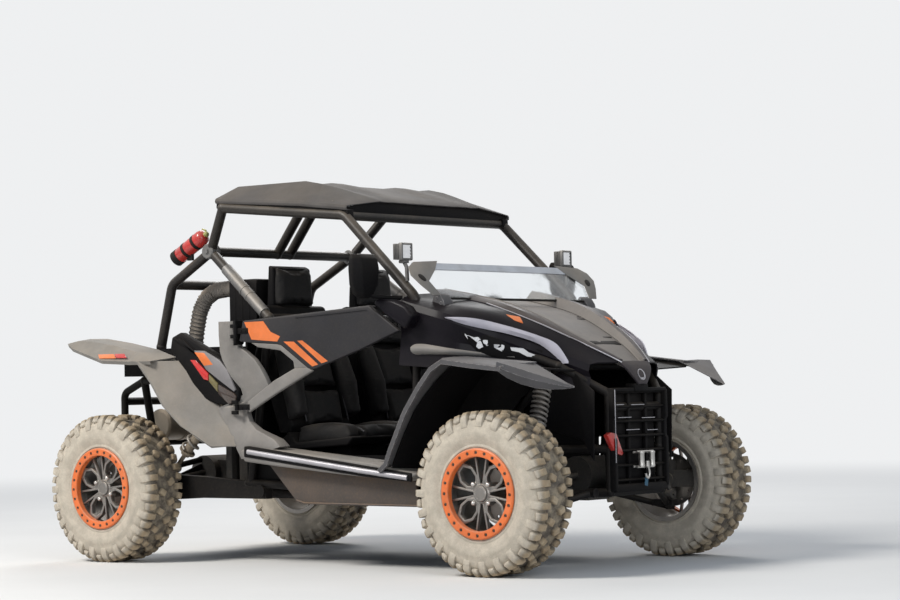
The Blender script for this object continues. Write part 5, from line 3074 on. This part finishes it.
NODE_FINISHES = {
    Finish.FRAME: ("cabin_frame", "front_frame", "rear_frame", "rear_bumper", "front_arms", "rear_arms"),
    Finish.CAGE: ("roll_cage",),
    Finish.BLACK: ("cargo_bed", "cabin_tub", "dash"),
    Finish.CAST: ("engine_block", "drivetrain", "knuckle_left", "knuckle_right"),
    Finish.STEEL: ("steering_rack",),
}


def dress_nodes() -> None:
    """Give every CAD node its finish."""
    for finish, nodes in NODE_FINISHES.items():
        for node in nodes:
            dress(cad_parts[node], finish)


# Camera, light and floor


@dataclass(frozen=True)
class Studio:
    """The photograph's viewpoint over a plain pale floor in soft light."""

    eye: tuple[float, float, float] = (7.736, -9.132, 0.807)
    yaw: float = 38.89
    pitch: float = 1.93
    roll: float = -1.14
    focal_pixels: float = 2534.0
    frame_width: int = 900
    sensor: float = 36.0
    floor_colour: Colour = (0.78, 0.77, 0.75)
    backdrop: Colour = (0.86, 0.87, 0.88)
    # Name, place, side length, power in watts and colour of each lamp
    lamps: Sequence[tuple[str, Point, float, float, Colour]] = (
        ("key", (-3.0, -7.0, 7.5), 3.0, 900, (1.0, 0.97, 0.92)),
        ("fill", (7.0, -4.0, 3.5), 4.0, 160, (0.9, 0.95, 1.0)),
        ("rim", (-4.0, 6.0, 6.0), 4.0, 300, (1, 1, 1)),
    )
    # What the lamps face
    aim: Point = (0, 0, 0.6)

    def camera(self) -> None:
        """Set up the camera."""
        yaw, pitch, roll = (math.radians(angle) for angle in (self.yaw, self.pitch, self.roll))
        ahead = Vector((-math.sin(yaw) * math.cos(pitch), math.cos(yaw) * math.cos(pitch), math.sin(pitch)))
        level_right = Vector((math.cos(yaw), math.sin(yaw), 0))
        level_up = level_right.cross(ahead)
        right = level_right * math.cos(roll) + level_up * math.sin(roll)
        up = level_up * math.cos(roll) - level_right * math.sin(roll)
        data = bpy.data.cameras.new("camera")
        data.sensor_width = self.sensor
        data.lens = self.focal_pixels / self.frame_width * self.sensor
        data.clip_end = 200
        camera = bpy.data.objects.new("camera", data)
        turn = Matrix((right, up, -ahead)).transposed().to_4x4()
        camera.matrix_world = Matrix.Translation(self.eye) @ turn
        bpy.context.scene.collection.objects.link(camera)
        bpy.context.scene.camera = camera

    def lamp(self, name: str, place: Point, size: float, power: float, colour: Colour) -> None:
        """Add a soft square lamp that faces the machine.

        Args:
            name: The lamp's name.
            place: Where it hangs.
            size: Length of its sides.
            power: Its output in watts.
            colour: Its colour.
        """
        data = bpy.data.lights.new(name, "AREA")
        data.size = size
        data.energy = power
        data.color = colour
        lamp = bpy.data.objects.new(name, data)
        lamp.location = place
        lamp.rotation_euler = (Vector(self.aim) - Vector(place)).to_track_quat("-Z", "Y").to_euler()
        bpy.context.scene.collection.objects.link(lamp)

    def floor(self) -> None:
        """Lay the floor."""
        select_only()
        bpy.ops.mesh.primitive_plane_add(size=120)
        floor = bpy.context.active_object
        floor.name = "floor"
        surface = Surface("floor")
        place = surface.add("ShaderNodeTexCoord").outputs["Object"]
        tone = surface.between(surface.noise(place, 0.8, 6.0), 0.3, 0.7)
        darker = tuple(channel * 0.97 for channel in self.floor_colour)
        away = surface.add("ShaderNodeVectorMath", {0: place}, operation="LENGTH")
        far = surface.between(away.outputs["Value"], 3.0, 14.0)
        seen = surface.add("ShaderNodeLightPath").outputs["Is Camera Ray"]
        share = surface.math("MULTIPLY", far, seen)
        surface.set(
            Base_Color=surface.mix(share, surface.mix(tone, darker, self.floor_colour), (0.0, 0.0, 0.0)),
            Roughness=0.9,
            Emission_Color=self.backdrop,
            Emission_Strength=share,
        )
        surface.shader.inputs["Specular IOR Level"].default_value = 0.0
        floor.data.materials.append(surface.material)

    def world(self) -> None:
        """Light the surroundings and show a pale backdrop."""
        world = bpy.data.worlds.new("studio")
        bpy.context.scene.world = world
        world.use_nodes = True
        graph = Graph(world.node_tree)
        world.node_tree.nodes.clear()
        path = graph.add("ShaderNodeLightPath")
        seen = graph.math("MAXIMUM", path.outputs["Is Camera Ray"], path.outputs["Is Glossy Ray"])
        seen = graph.math("MAXIMUM", seen, path.outputs["Is Transmission Ray"])
        light = graph.add("ShaderNodeBackground", {0: (0.75, 0.85, 1.0, 1), 1: 0.35})
        shown = graph.add("ShaderNodeBackground", {0: (*self.backdrop, 1), 1: 1.0})
        mixed = graph.add("ShaderNodeMixShader", {0: seen, 1: light.outputs[0], 2: shown.outputs[0]})
        graph.add("ShaderNodeOutputWorld", {0: mixed.outputs[0]})

    def build(self) -> None:
        """Set up camera, lamps, floor and world."""
        self.camera()
        for row in self.lamps:
            self.lamp(*row)
        self.floor()
        self.world()
        bpy.context.scene.view_settings.view_transform = "Standard"


def main() -> None:
    """Build the studio and every sub-assembly in order."""
    select_only()
    Studio().build()
    dress_nodes()
    assemblies = (
        Wheels(), Hood(), FrontSides(), Fascia(), FrontFlares(), Doors(), Quarters(), RearFlares(), Roof(),
        Shocks(), Seats(), Screen(), LampsAndMirrors(), Fittings(), StaySleeves(),
    )
    for assembly in assemblies:
        assembly.build()


if __name__ == "__main__":
    main()
